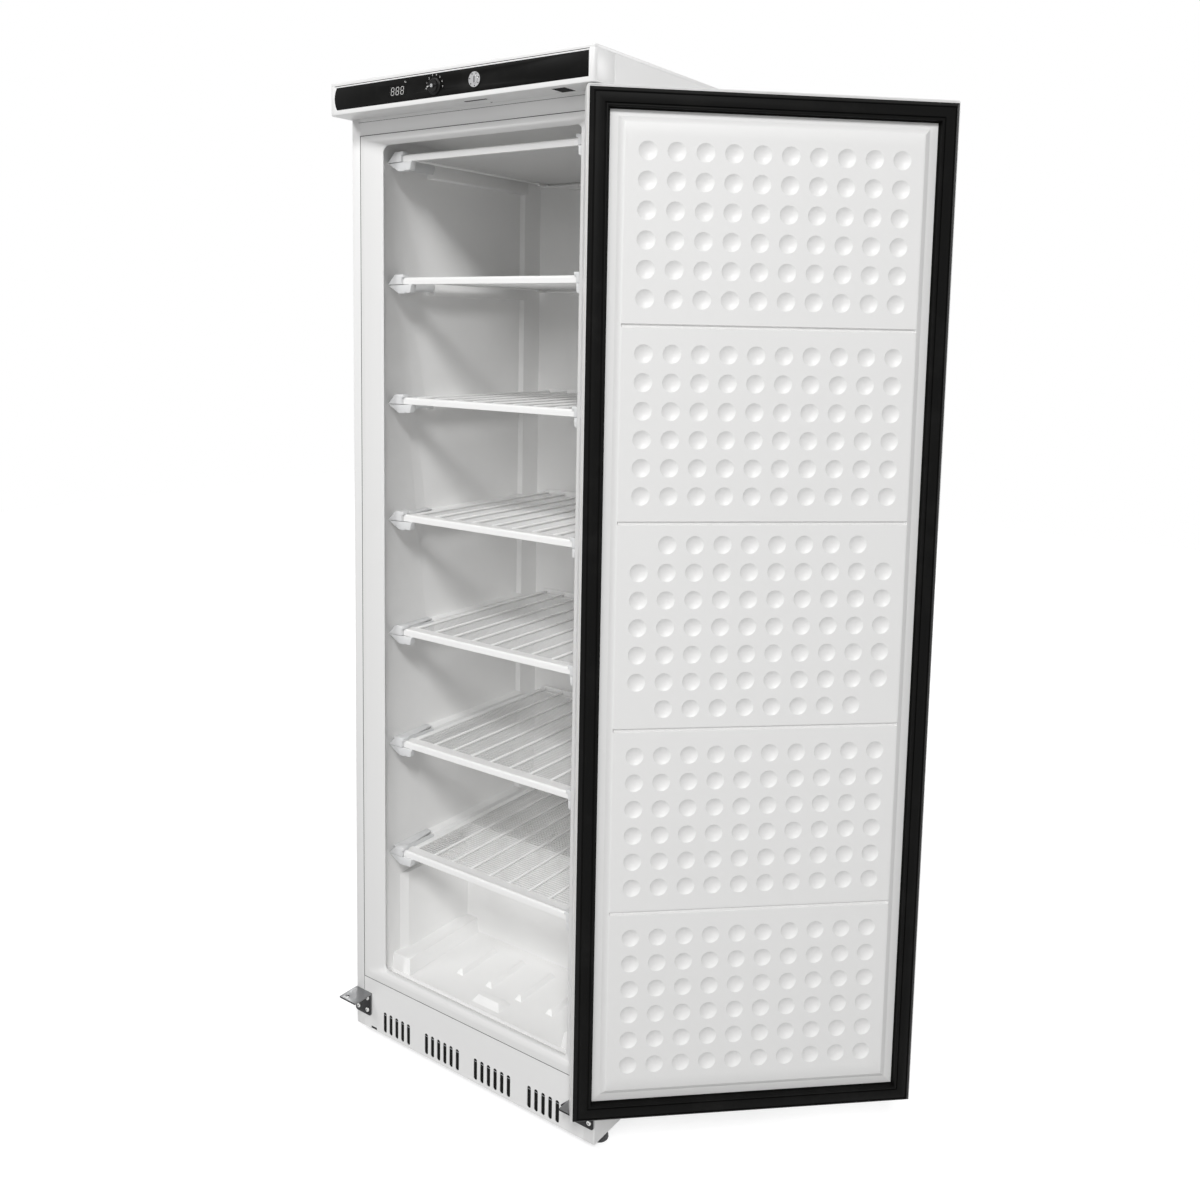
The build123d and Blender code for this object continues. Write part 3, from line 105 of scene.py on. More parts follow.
class Maker:
    def __init__(self, tree):
        self.tree = tree

    def link(self, value, socket):
        if isinstance(value, Value):
            self.tree.links.new(value.socket, socket)
        elif isinstance(value, (tuple, list)) and len(value) == 3 and len(socket.default_value) == 4:
            socket.default_value = (*value, 1)
        else:
            socket.default_value = value

    def node(self, kind, settings, inputs, output=0):
        made = self.tree.nodes.new(kind)
        for name, value in settings.items():
            if name == "stops":
                for element, (spot, shade) in zip(made.color_ramp.elements, value):
                    element.position = spot
                    element.color = (shade, shade, shade, 1)
            else:
                setattr(made, name, value)
        for name, value in inputs.items():
            self.link(value, made.inputs[name])
        return Value(self, made.outputs[output]) if made.outputs else None

    def rays(self, *kinds):
        # 1 for the rays of these kinds
        mask = 0
        for kind in kinds:
            ray = self.node("ShaderNodeLightPath", {}, {}, kind)
            mask = self.node("ShaderNodeMath", {"operation": "MAXIMUM"}, {0: mask, 1: ray})
        return mask


class Finish(Maker):
    sockets = {"colour": "Base Color", "roughness": "Roughness", "metal": "Metallic", "coat": "Coat Weight",
               "normal": "Normal", "specular": "Specular IOR Level"}

    def __init__(self, name):
        self.material = bpy.data.materials.new(name)
        self.material.use_nodes = True
        super().__init__(self.material.node_tree)
        self.shader = self.tree.nodes["Principled BSDF"]
        self.place = self.node("ShaderNodeTexCoord", {}, {}, "Object")

    def set(self, **values):
        for name, value in values.items():
            self.link(value, self.shader.inputs[self.sockets[name]])

    def noise(self, scale, detail=3, rough=0.5, stretch=None):
        where = self.place if stretch is None else self.node(
            "ShaderNodeMapping", {}, {"Vector": self.place, "Scale": stretch})
        return self.node("ShaderNodeTexNoise", {}, {"Vector": where, "Scale": scale, "Detail": detail,
                                                    "Roughness": rough})

    def ramp(self, value, *stops):
        return self.node("ShaderNodeValToRGB", {"stops": stops}, {"Fac": value})

    def blend(self, factor, first, second):
        # the colour sockets of this node are numbered 6, 7 and 2
        return self.node("ShaderNodeMix", {"data_type": "RGBA"}, {0: factor, 6: first, 7: second}, 2)

    def bump(self, height, strength, distance):
        return self.node("ShaderNodeBump", {}, {"Height": height, "Strength": strength, "Distance": distance},
                         "Normal")


# Colours and finishes
whites = {
    "enamel": (0.812, 0.81, 0.806),
    "lining": (0.808, 0.806, 0.80),
    "tub": (0.865, 0.863, 0.856),
    # the frame is the lining's white plastic, painted darker as shade
    "frame": (0.752, 0.75, 0.745),
    "canopy": (0.808, 0.806, 0.802),
    "wire": (0.87, 0.868, 0.862),
    # the mat's wires have the rods' white coating; this darker grey is painted shade between them
    "mat": (0.68, 0.678, 0.672),
    "galvanised": (0.42, 0.43, 0.44),
    "dust": (0.60, 0.59, 0.57),
}
darks = {
    "strip": (0.0048, 0.0048, 0.0046),
    "rubber": (0.0042, 0.0042, 0.0040),
    "plastic": (0.03, 0.03, 0.032),
    "enamel": (0.02, 0.02, 0.021),
}


def shaded(colour, factor):
    return tuple(part * factor for part in colour)


def whiteFinish(name, colour, roughness, grain, grainDepth):
    made = Finish(name)
    cloud = made.noise(2.2, 2)
    fine = made.noise(grain, 2)
    dusty = made.ramp(made.noise(9, 5, 0.6), (0.52, 0), (0.80, 1))
    tone = made.blend(cloud * 0.35, colour, shaded(colour, 0.965))
    made.set(colour=made.blend(dusty * 0.06, tone, whites["dust"]),
             roughness=roughness + fine * 0.06 + dusty * 0.08,
             normal=made.bump(fine, 0.35, grainDepth), specular=0.45)
    return made.material


def metalFinish(name, colour, roughness, stretch, streak=0.10):
    made = Finish(name)
    lines = made.noise(90, 3, 0.6, stretch)
    stain = made.ramp(made.noise(26, 4, 0.6), (0.45, 0), (0.75, 1))
    made.set(colour=made.blend(stain * 0.5, colour, shaded(colour, 0.72)), metal=1.0,
             roughness=roughness + lines * streak + stain * 0.12, normal=made.bump(lines, 0.25, 0.0004))
    return made.material


def bracketFinish(name, flat, front):
    # brushed along the top plate, with painted reflection: the faces that look forward are painted dark
    made = Finish(name)
    lines = made.noise(90, 3, 0.6, (14, 1, 1))
    way = made.node("ShaderNodeTexCoord", {}, {}, "Normal")
    facing = made.node("ShaderNodeSeparateXYZ", {}, {"Vector": way}, "Y")
    paintedReflection = made.ramp(facing * -1, (0.55, 0), (0.85, 1))
    brushed = made.blend(lines * 0.6, flat, shaded(flat, 1.5))
    made.set(colour=made.blend(paintedReflection, brushed, front), metal=1.0, roughness=0.34 + lines * 0.16,
             normal=made.bump(lines, 0.25, 0.0004))
    return made.material


def lockFinish(name, bright, dark):
    # plating: bright metal broken by dark patches
    made = Finish(name)
    patches = made.ramp(made.noise(330, 2), (0.44, 0), (0.56, 1))
    made.set(colour=made.blend(patches, bright, dark), metal=1.0, roughness=0.16 + patches * 0.3,
             normal=made.bump(patches, 0.4, 0.0002))
    return made.material


def darkFinish(name, colour, roughness, grain, grainDepth, coat=0.0, shine=0.5):
    made = Finish(name)
    fine = made.noise(grain, 3)
    dusty = made.ramp(made.noise(14, 5, 0.65), (0.50, 0), (0.85, 1))
    made.set(colour=made.blend(dusty * 0.012, colour, whites["dust"]),
             roughness=roughness + dusty * 0.10 + fine * 0.05, normal=made.bump(fine, 0.3, grainDepth), coat=coat,
             specular=shine)
    return made.material


def spangleFinish(name):
    # zinc crystals on galvanised sheet
    made = Finish(name)
    cells = made.node("ShaderNodeTexVoronoi", {}, {"Vector": made.place, "Scale": 70}, "Color")
    tint = made.node("ShaderNodeSeparateColor", {}, {"Color": cells}, "Red")
    made.set(colour=made.blend(tint * 0.5, whites["galvanised"], shaded(whites["galvanised"], 1.3)),
             metal=0.9, roughness=0.38 + tint * 0.16, normal=made.bump(tint, 0.08, 0.0003))
    return made.material


def foamFinish(name):
    made = Finish(name)
    pores = made.noise(420, 4)
    made.set(colour=made.blend(pores, (0.75, 0.66, 0.42), (0.62, 0.52, 0.30)), roughness=0.9,
             normal=made.bump(pores, 0.6, 0.001))
    return made.material


finishes = {
    "white_steel": whiteFinish("whiteEnamel", whites["enamel"], 0.30, 700, 0.0001),
    "white_plastic": whiteFinish("liningPlastic", whites["lining"], 0.40, 420, 0.00015),
    "tub_plastic": whiteFinish("tubPlastic", whites["tub"], 0.42, 420, 0.00015),
    "frame_plastic_painted_shade": whiteFinish("framePlasticPaintedShade", whites["frame"], 0.40, 420, 0.00015),
    # the hinge plates' forward faces get the dark colour as painted reflection
    "hinge_plate_painted_reflection": bracketFinish("hingePlateSteelPaintedReflection", (0.24, 0.242, 0.245), (0.030, 0.030, 0.031)),
    "canopy_plastic": whiteFinish("canopyPlastic", whites["canopy"], 0.34, 900, 0.0001),
    "white_wire": whiteFinish("wireCoating", whites["wire"], 0.35, 1200, 0.0001),
    # the mat wires' darker coating is painted shade
    "mat_wire_painted_shade": whiteFinish("matWirePaintedShade", whites["mat"], 0.35, 1200, 0.0001),
    "grey_steel": spangleFinish("galvanisedSheet"),
    "dark_plastic": darkFinish("stripGloss", darks["strip"], 0.36, 60, 0.00003, 0.0, 0.05),
    "black_plastic": darkFinish("blackPlastic", darks["plastic"], 0.5, 900, 0.0002),
    "grey_plastic": darkFinish("greyPlastic", (0.30, 0.31, 0.32), 0.45, 900, 0.0002),
    "gasket_rubber": darkFinish("gasketRubber", darks["rubber"], 0.48, 500, 0.0002, 0.0, 0.06),
    "grommet_rubber": darkFinish("grommetRubber", darks["rubber"], 0.6, 500, 0.0003),
    "foam": foamFinish("foamFilling"),
    "zinc": metalFinish("zincPlate", (0.40, 0.405, 0.41), 0.34, (14, 1, 1), 0.16),
    "chrome": metalFinish("chromePlate", (0.50, 0.50, 0.51), 0.14, (1, 1, 1), 0.04),
    "lock_plating": lockFinish("lockPlating", (0.62, 0.62, 0.62), (0.03, 0.03, 0.03)),
    "black_paint": darkFinish("blackEnamel", darks["enamel"], 0.28, 300, 0.0003, 0.2),
    "copper": metalFinish("copperTube", (0.72, 0.40, 0.26), 0.30, (1, 1, 1)),
    "clip_plastic": whiteFinish("clipPlastic", (0.74, 0.745, 0.75), 0.32, 900, 0.0001),
    "knob_plastic": darkFinish("knobPlastic", (0.005, 0.005, 0.005), 0.34, 900, 0.0001, 0.0, 0.16),
    "display_marks": whiteFinish("displayMarks", (0.60, 0.60, 0.59), 0.45, 2000, 0.00003),
    "print_marks": whiteFinish("printedMarks", (0.74, 0.74, 0.73), 0.5, 2000, 0.00003),
    "screw_zinc": metalFinish("screwZinc", (0.70, 0.70, 0.69), 0.24, (1, 1, 1)),
}
nodeFinishes = {"lower_hinge_bracket": "hinge_plate_painted_reflection", "spare_hinge_bracket": "hinge_plate_painted_reflection"}
nodeSlots = {entry["node"]: entry["material_slot"] for entry in frame["record"]["subparts"]}
for nodeName, node in frame["nodes"].items():
    node.data.materials.clear()
    node.data.materials.append(finishes[nodeFinishes.get(nodeName, nodeSlots[nodeName])])
print("finishes on", len(frame["nodes"]), "pieces")


# Modelling steps that several pieces share
def objectMode():
    if bpy.context.object and bpy.context.object.mode != "OBJECT":
        bpy.ops.object.mode_set(mode="OBJECT")
    bpy.ops.object.select_all(action="DESELECT")


def pickOnly(*pieces):
    objectMode()
    for piece in pieces:
        piece.select_set(True)
    bpy.context.view_layer.objects.active = pieces[0]


def startEdit():
    bpy.ops.object.mode_set(mode="EDIT")
    bpy.ops.mesh.select_all(action="SELECT")


def endEdit(gap=None, turnOut=False):
    # merges points that meet and turns the faces outwards where that is asked
    if gap or turnOut:
        bpy.ops.mesh.select_all(action="SELECT")
    if gap:
        bpy.ops.mesh.remove_doubles(threshold=gap)
    if turnOut:
        bpy.ops.mesh.normals_make_consistent(inside=False)
    bpy.ops.object.mode_set(mode="OBJECT")


def growEdges(piece, rule):
    # draws new edges out of the selected ones and puts their points where the rule says
    bpy.ops.mesh.extrude_edges_move()
    movePoints(piece, rule)


def movePoints(piece, rule):
    shape = bmesh.from_edit_mesh(piece.data)
    for vertex in shape.verts:
        if vertex.select:
            vertex.co = rule(vertex.co)
    bmesh.update_edit_mesh(piece.data)


def growScaled(scale, centre, push):
    # draws new edges out of the selected ones, resized about a centre and pushed along
    bpy.ops.mesh.extrude_edges_move()
    bpy.ops.transform.resize(value=scale, center_override=centre)
    bpy.ops.transform.translate(value=push)


def flute(piece, count, low, high, outside, depth):
    # draws every other point round a turned side inwards
    for vertex in piece.data.vertices:
        spot = vertex.co
        if low < spot.z < high and spot.xy.length > outside:
            if round(atan2(spot.y, spot.x) / tau * count * 2) % 2:
                spot.x *= depth
                spot.y *= depth


def remove(*pieces):
    for piece in pieces:
        bpy.data.objects.remove(piece)


def standing(centre):
    # stands a piece modelled on its back up, facing the front
    return Matrix.Translation(centre) @ Matrix.Rotation(pi / 2, 4, "X")


def place(piece):
    # moves the place, turn and size into the mesh
    pickOnly(piece)
    bpy.ops.object.transform_apply(location=True, rotation=True, scale=True)


def joinAll(pieces, name):
    pickOnly(*pieces)
    if len(pieces) > 1:
        bpy.ops.object.join()
    whole = bpy.context.object
    whole.name = name
    whole.data.name = name
    return whole


def copyOf(piece, shift=(0, 0, 0)):
    twin = piece.copy()
    twin.data = piece.data.copy()
    twin.data.transform(Matrix.Translation(shift))
    bpy.context.scene.collection.objects.link(twin)
    return twin


def choose(piece, kind, test):
    # in edit mode, selects the faces, edges or points whose middle passes the test
    bpy.ops.mesh.select_mode(type={"faces": "FACE", "edges": "EDGE", "verts": "VERT"}[kind])
    bpy.ops.mesh.select_all(action="DESELECT")
    shape = bmesh.from_edit_mesh(piece.data)
    for part in getattr(shape, kind):
        if kind == "verts":
            part.select = test(part.co, part)
        else:
            middle = sum((v.co for v in part.verts), Vector()) / len(part.verts)
            part.select = test(middle, part)
    shape.select_flush_mode()
    bmesh.update_edit_mesh(piece.data)


def block(low, high, bevel=0.0, steps=2):
    # a block between two corners with softened edges
    objectMode()
    low, high = Vector(low), Vector(high)
    bpy.ops.mesh.primitive_cube_add(size=1, location=(low + high) / 2)
    piece = bpy.context.object
    piece.scale = high - low
    place(piece)
    if bevel:
        startEdit()
        bpy.ops.mesh.bevel(offset=bevel, segments=steps, affect="EDGES", clamp_overlap=True)
        endEdit()
    return piece


def rod(start, end, radius, sides=12, bevel=0.0):
    # a round bar between two points
    objectMode()
    start, end = Vector(start), Vector(end)
    run = end - start
    bpy.ops.mesh.primitive_cylinder_add(vertices=sides, radius=radius, depth=run.length)
    piece = bpy.context.object
    if bevel:
        startEdit()
        choose(piece, "faces", lambda middle, face: len(face.verts) > 4)
        bpy.ops.mesh.bevel(offset=bevel, segments=2, affect="EDGES")
        endEdit()
    turn = Vector((0, 0, 1)).rotation_difference(run.normalized()).to_matrix().to_4x4()
    piece.data.transform(Matrix.Translation((start + end) / 2) @ turn)
    return piece


def turned(profile, sides, centre=(0, 0, 0)):
    # draws a profile of (radius, height) pairs round an upright line, ring by ring
    objectMode()
    bpy.ops.mesh.primitive_circle_add(vertices=sides, radius=max(profile[0][0], 1e-5))
    piece = bpy.context.object
    piece.data.transform(Matrix.Translation((0, 0, profile[0][1])))
    startEdit()
    for (radius, height), (nextRadius, nextHeight) in zip(profile, profile[1:]):
        scale = max(nextRadius, 1e-5) / max(radius, 1e-5)
        growScaled((scale, scale, 1), (0, 0, height), (0, 0, nextHeight - height))
    bpy.ops.mesh.select_all(action="SELECT")
    bpy.ops.mesh.remove_doubles(threshold=0.00003)
    bpy.ops.mesh.select_mode(type="EDGE")
    bpy.ops.mesh.select_all(action="DESELECT")
    bpy.ops.mesh.select_non_manifold(extend=False)
    if any(edge.select for edge in bmesh.from_edit_mesh(piece.data).edges):
        bpy.ops.mesh.edge_face_add()
    endEdit(turnOut=True)
    piece.data.transform(Matrix.Translation(centre))
    return piece


def plateShape(points, thickness, view, level, bevel=0.0, steps=2):
    # an outline pushed into a plate. view "front": points are (x, z), thickness runs back along Y;
    # view "side": points are (y, z), thickness along X; view "top": points are (x, y), thickness along Z
    objectMode()
    bpy.ops.mesh.primitive_circle_add(vertices=len(points), radius=1, fill_type="NGON")
    piece = bpy.context.object
    for vertex, (across, up) in zip(piece.data.vertices, points):
        vertex.co = {"front": (across, level, up), "side": (level, across, up), "top": (across, up, level)}[view]
    push = {"front": (0, thickness, 0), "side": (thickness, 0, 0), "top": (0, 0, thickness)}[view]
    startEdit()
    bpy.ops.mesh.extrude_region_move()
    bpy.ops.transform.translate(value=push)
    bpy.ops.mesh.select_all(action="SELECT")
    bpy.ops.mesh.normals_make_consistent(inside=False)
    if bevel:
        bpy.ops.mesh.bevel(offset=bevel, segments=steps, affect="EDGES", clamp_overlap=True)
    endEdit()
    return piece


def tube(points, radius, bend=0.0, sides=10, smooth=4):
    # a round tube along a line of points whose corners are turned in arcs
    objectMode()
    path = []
    for index, corner in enumerate(points):
        corner = Vector(corner)
        if bend and 0 < index < len(points) - 1:
            back = (Vector(points[index - 1]) - corner)
            ahead = (Vector(points[index + 1]) - corner)
            reach = min(bend, back.length * 0.49, ahead.length * 0.49)
            first, last = corner + back.normalized() * reach, corner + ahead.normalized() * reach
            for step in range(smooth + 1):
                t = step / smooth
                path.append(first * (1 - t) ** 2 + corner * 2 * t * (1 - t) + last * t ** 2)
        else:
            path.append(corner)
    line = bpy.data.curves.new("run", "CURVE")
    line.dimensions = "3D"
    run = line.splines.new("POLY")
    run.points.add(len(path) - 1)
    for spot, where in zip(run.points, path):
        spot.co = (*where, 1)
    line.bevel_depth = radius
    line.bevel_resolution = max(0, sides // 4 - 1)
    line.use_fill_caps = True
    piece = bpy.data.objects.new("run", line)
    bpy.context.scene.collection.objects.link(piece)
    pickOnly(piece)
    bpy.ops.object.convert(target="MESH")
    return bpy.context.object


def addBevel(piece, width, gap):
    # small round edges by modifiers, with the points nearer than the gap welded first
    weld = piece.modifiers.new("weld", "WELD")
    weld.merge_threshold = gap
    bevel = piece.modifiers.new("bevel", "BEVEL")
    bevel.width = width
    bevel.segments = 2
    bevel.limit_method = "ANGLE"
    bevel.angle_limit = radians(30)
    bevel.use_clamp_overlap = True


def soften(piece, width):
    # the same modifiers, applied
    pickOnly(piece)
    addBevel(piece, width, 0.00002)
    for name in ("weld", "bevel"):
        bpy.ops.object.modifier_apply(modifier=name)


def finish(piece, name, body, slot, replaces=(), angle=35):
    # names a piece, gives it its material and ties it to its body
    pickOnly(piece)
    piece.name = name
    piece.data.name = name
    piece.data.materials.clear()
    piece.data.materials.append(finishes[slot])
    bpy.ops.object.shade_smooth_by_angle(angle=radians(angle))
    if replaces:
        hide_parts(*replaces)
    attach(piece, body)


def roundEdges(nodeName, width):
    # a CAD piece keeps its mesh and gets the modifiers live
    addBevel(frame["nodes"][nodeName], width, 0.00001)


# The door
doorShape = {
    "hinge": (0.2845, -0.036),
    "opened": 221.8,
    "liningFace": -0.0115,
    "fieldFace": -0.0045,
}
hingePlace = Vector((*doorShape["hinge"], 0))
swing = (Matrix.Translation(hingePlace) @ Matrix.Rotation(radians(doorShape["opened"]), 4, "Z")
         @ Matrix.Translation(-hingePlace))


def swingOpen(piece):
    piece.data.transform(swing)
    return piece


liningShape = {
    "columns": 10,
    "pitch": 0.045,
    "radius": 0.0150,
    "depth": 0.0046,
    # rings of the dish, as shares of its radius and depth
    "dish": ((0.90, 0.21), (0.74, 0.48), (0.50, 0.77), (0.25, 0.94)),
    "panelRows": (6, 6, 7, 6, 6),
    "fieldHalf": 0.248,
    "plateauHalf": 0.239,
    "plateauLow": 0.1545,
    "plateauHigh": 1.7385,
    "grooves": (0.4665, 0.7785, 1.1185, 1.4305),
    "grooveWidth": 0.0064,
    "grooveDepth": 0.0036,
    "grooveEnd": 0.0025,
}


def dimpleTile(shape):
    # one square of the lining with a round dish in it, modelled lying flat
    objectMode()
    pitch, radius, depth = shape["pitch"], shape["radius"], shape["depth"]
    bpy.ops.mesh.primitive_circle_add(vertices=16, radius=radius, fill_type="NGON")
    piece = bpy.context.object
    startEdit()
    # the dish is part of a ball, ring by ring
    for ratio, drop in shape["dish"]:
        choose(piece, "faces", lambda middle, face: len(face.verts) == 16)
        bpy.ops.mesh.inset(thickness=0.0001)

        def ringPoint(spot):
            flat = Vector((spot.x, spot.y, 0)).normalized() * radius * ratio
            return (flat.x, flat.y, -depth * drop)

        movePoints(piece, ringPoint)
    bpy.ops.mesh.poke(offset=-depth * 0.06)
    # the flat round it, out to the square
    choose(piece, "edges", lambda middle, edge: edge.is_boundary)
    growEdges(piece, lambda spot: spot * (pitch / 2 / max(abs(spot.x), abs(spot.y))))
    endEdit(turnOut=True)
    return piece


def flatTile(shape):
    # the same square without its dish, with the same points on its border
    piece = dimpleTile(shape)
    startEdit()
    choose(piece, "verts", lambda spot, vertex: max(abs(spot.x), abs(spot.y)) < shape["pitch"] / 2 - 1e-5)
    bpy.ops.mesh.dissolve_verts()
    endEdit()
    return piece


def liningPiece(shape):
    # rows of dished squares, then flats, grooves and slopes drawn out from their borders
    dished, plain = dimpleTile(shape), flatTile(shape)
    edges = [shape["plateauLow"], *shape["grooves"], shape["plateauHigh"]]
    pitch, columns = shape["pitch"], shape["columns"]
    grooveHalf = shape["grooveWidth"] / 2
    innerHalf = shape["plateauHalf"] - shape["grooveEnd"]
    panels = []
    for panel, (rows, low, high) in enumerate(zip(shape["panelRows"], edges, edges[1:])):
        tiles = []
        for row in range(rows):
            for column in range(columns):
                bare = rows == 7 and row in (0, rows - 1) and column in (0, columns - 1)
                spot = ((column - (columns - 1) / 2) * pitch, (low + high) / 2 + (row - (rows - 1) / 2) * pitch, 0)
                tiles.append(copyOf(plain if bare else dished, spot))
        sheet = joinAll(tiles, f"panel{panel}")
        startEdit()
        bpy.ops.mesh.remove_doubles(threshold=0.0001)
        lowFlat = low + (grooveHalf if panel > 0 else 0)
        highFlat = high - (grooveHalf if panel < 4 else 0)
        half, middleZ = columns * pitch / 2, (low + high) / 2
        tall = rows * pitch / 2

        def panelBorder(spot):
            t = (spot.y - middleZ) / tall
            reach = highFlat - middleZ if t > 0 else middleZ - lowFlat
            return (spot.x / half * innerHalf, middleZ + t * reach, 0)

        choose(sheet, "edges", lambda middle, edge: edge.is_boundary)
        growEdges(sheet, panelBorder)
        endEdit()
        panels.append(sheet)
    remove(dished, plain)
    whole = joinAll(panels, "doorLining")
    startEdit()
    # grooves: the facing borders of two panels go down and are joined
    for grooveZ in shape["grooves"]:
        nearGroove = lambda middle, edge: edge.is_boundary and abs(abs(middle.y - grooveZ) - grooveHalf) < 1e-4
        choose(whole, "edges", nearGroove)
        bpy.ops.mesh.extrude_edges_move()
        bpy.ops.transform.translate(value=(0, 0, -shape["grooveDepth"]))
        bpy.ops.transform.resize(value=(1, 0.55, 1), center_override=(0, grooveZ, -shape["grooveDepth"]))
        bpy.ops.mesh.bridge_edge_loops()
    # the strips beside the groove ends, then the outer border, its slope and the band under the gasket
    for side in (-1, 1):
        choose(whole, "edges", lambda middle, edge: edge.is_boundary and middle.x * side > innerHalf - 1e-5)
        growEdges(whole, lambda spot: (side * shape["plateauHalf"], spot.y, 0))
    bpy.ops.mesh.select_all(action="SELECT")
    bpy.ops.mesh.remove_doubles(threshold=0.00005)
    middleZ = (edges[0] + edges[-1]) / 2
    halfTall = (edges[-1] - edges[0]) / 2
    run = shape["fieldHalf"] - shape["plateauHalf"]
    drop = doorShape["fieldFace"] - doorShape["liningFace"]
    halfX, halfZ = shape["plateauHalf"], halfTall
    for out, down in ((0.0012, 0.0005), (run - 0.0012, drop - 0.001), (0.0012, 0.0005), (0.046, 0)):
        choose(whole, "edges", lambda middle, edge: edge.is_boundary)
        growScaled(((halfX + out) / halfX, (halfZ + out) / halfZ, 1), (0, middleZ, 0), (0, 0, -down))
        halfX, halfZ = halfX + out, halfZ + out
    endEdit(0.00005, True)
    # stand it up: its height runs along Z and its face looks back into the cabinet
    whole.data.transform(Matrix(((-1, 0, 0, 0), (0, 0, 1, doorShape["fieldFace"]), (0, 1, 0, 0), (0, 0, 0, 1))))
    return whole


lining = liningPiece(liningShape)
finish(swingOpen(lining), "doorLining", "door", "white_plastic", ["door_inner_panel"], 25)
print("door lining modelled")

gasketShape = {
    "half": 0.2932,
    "top": 1.7897,
    "bottom": 0.1003,
    # distance in from the outer edge, and height of the face
    "profile": ((0.0000, -0.0115), (0.0000, -0.0067), (0.0007, -0.0060), (0.0033, -0.0030), (0.0051, -0.0011),
                (0.0058, -0.0004), (0.0068, -0.0008), (0.0072, -0.0024), (0.0084, -0.0024), (0.0088, -0.0008),
                (0.0098, -0.0003), (0.0217, -0.0003), (0.0232, -0.0010), (0.0239, -0.0030), (0.0249, -0.0030),
                (0.0257, -0.0012), (0.0272, -0.0006), (0.0289, -0.0014), (0.0295, -0.0050), (0.0299, -0.0095),
                (0.0317, -0.0095), (0.0317, -0.0115)),
}


def ringPiece(shape):
    # a rectangular ring drawn out of one rectangle's border, step by step along its section
    objectMode()
    middleZ = (shape["top"] + shape["bottom"]) / 2
    halfZ = (shape["top"] - shape["bottom"]) / 2
    bpy.ops.mesh.primitive_plane_add(size=2)
    piece = bpy.context.object
    startEdit()
    bpy.ops.mesh.delete(type="ONLY_FACE")
    bpy.ops.mesh.select_all(action="SELECT")
    bpy.ops.transform.resize(value=(shape["half"], halfZ, 1), center_override=(0, 0, 0))
    halfX, tall, height = shape["half"], halfZ, 0.0
    firstHeight = shape["profile"][0][1]
    for inset, level in shape["profile"][1:]:
        nextX, nextZ = shape["half"] - inset, halfZ - inset
        growScaled((nextX / halfX, nextZ / tall, 1), (0, 0, height), (0, 0, level - firstHeight - height))
        halfX, tall, height = nextX, nextZ, level - firstHeight
    choose(piece, "edges", lambda middle, edge: edge.is_boundary)
    bpy.ops.mesh.bridge_edge_loops()
    endEdit(turnOut=True)
    piece.data.transform(Matrix(((-1, 0, 0, 0), (0, 0, 1, firstHeight), (0, 1, 0, middleZ), (0, 0, 0, 1))))
    return piece


gasket = ringPiece(gasketShape)
finish(swingOpen(gasket), "doorGasket", "door", "gasket_rubber", ["door_gasket"], 40)
roundEdges("door_outer_skin", 0.0004)
roundEdges("door_handle_insert", 0.0008)
print("gasket and skin done")

# Frame round the opening: a flat rim, then faces that slope in to the tub
frameShape = {
    "cornerSteps": 4,
    # half width, top, bottom, then how far back at the sides, the top and the bottom, and the corner radius
    "rings": (
        (0.2738, 1.7684, 0.1250, 0.0020, 0.0020, 0.0020, 0.002),
        (0.2738, 1.7684, 0.1250, 0.0, 0.0, 0.0, 0.002),
        (0.2664, 1.7614, 0.1365, 0.0, 0.0, 0.0, 0.006),
        (0.2646, 1.7598, 0.1398, 0.0003, 0.0004, 0.0008, 0.008),
        (0.2460, 1.7564, 0.1448, 0.0048, 0.0068, 0.0038, 0.010),
        (0.2300, 1.7522, 0.1470, 0.0096, 0.0142, 0.0080, 0.012),
        (0.2274, 1.7515, 0.1473, 0.0106, 0.0160, 0.0110, 0.012),
        (0.2265, 1.7514, 0.1470, 0.0117, 0.0174, 0.0140, 0.012),
        (0.2271, 1.7524, 0.1460, 0.0128, 0.0188, 0.0170, 0.012),
        (0.2330, 1.7590, 0.1425, 0.0160, 0.0205, 0.0220, 0.012),
        (0.2393, 1.7655, 0.1347, 0.0225, 0.0225, 0.0320, 0.012),
    ),
    "tubHalf": 0.2396,
    "tubTop": 1.7656,
    "tubBottom": 0.1344,
    "tubFront": (0.0215, 0.0250),
    # the filling stands back behind the slopes
    "fillingFront": (0.0024, 0.0026, 0.0219),
    "sheet": 0.0011,
    "fillingInner": 0.2230,
    "fillingHalf": 0.2424,
    # section of the thin dark ring painted as the shade in the frame's seam
    "seam": ((0.0, 0.0004), (0.0, -0.00018), (0.0010, -0.00018), (0.0010, 0.0004)),
}


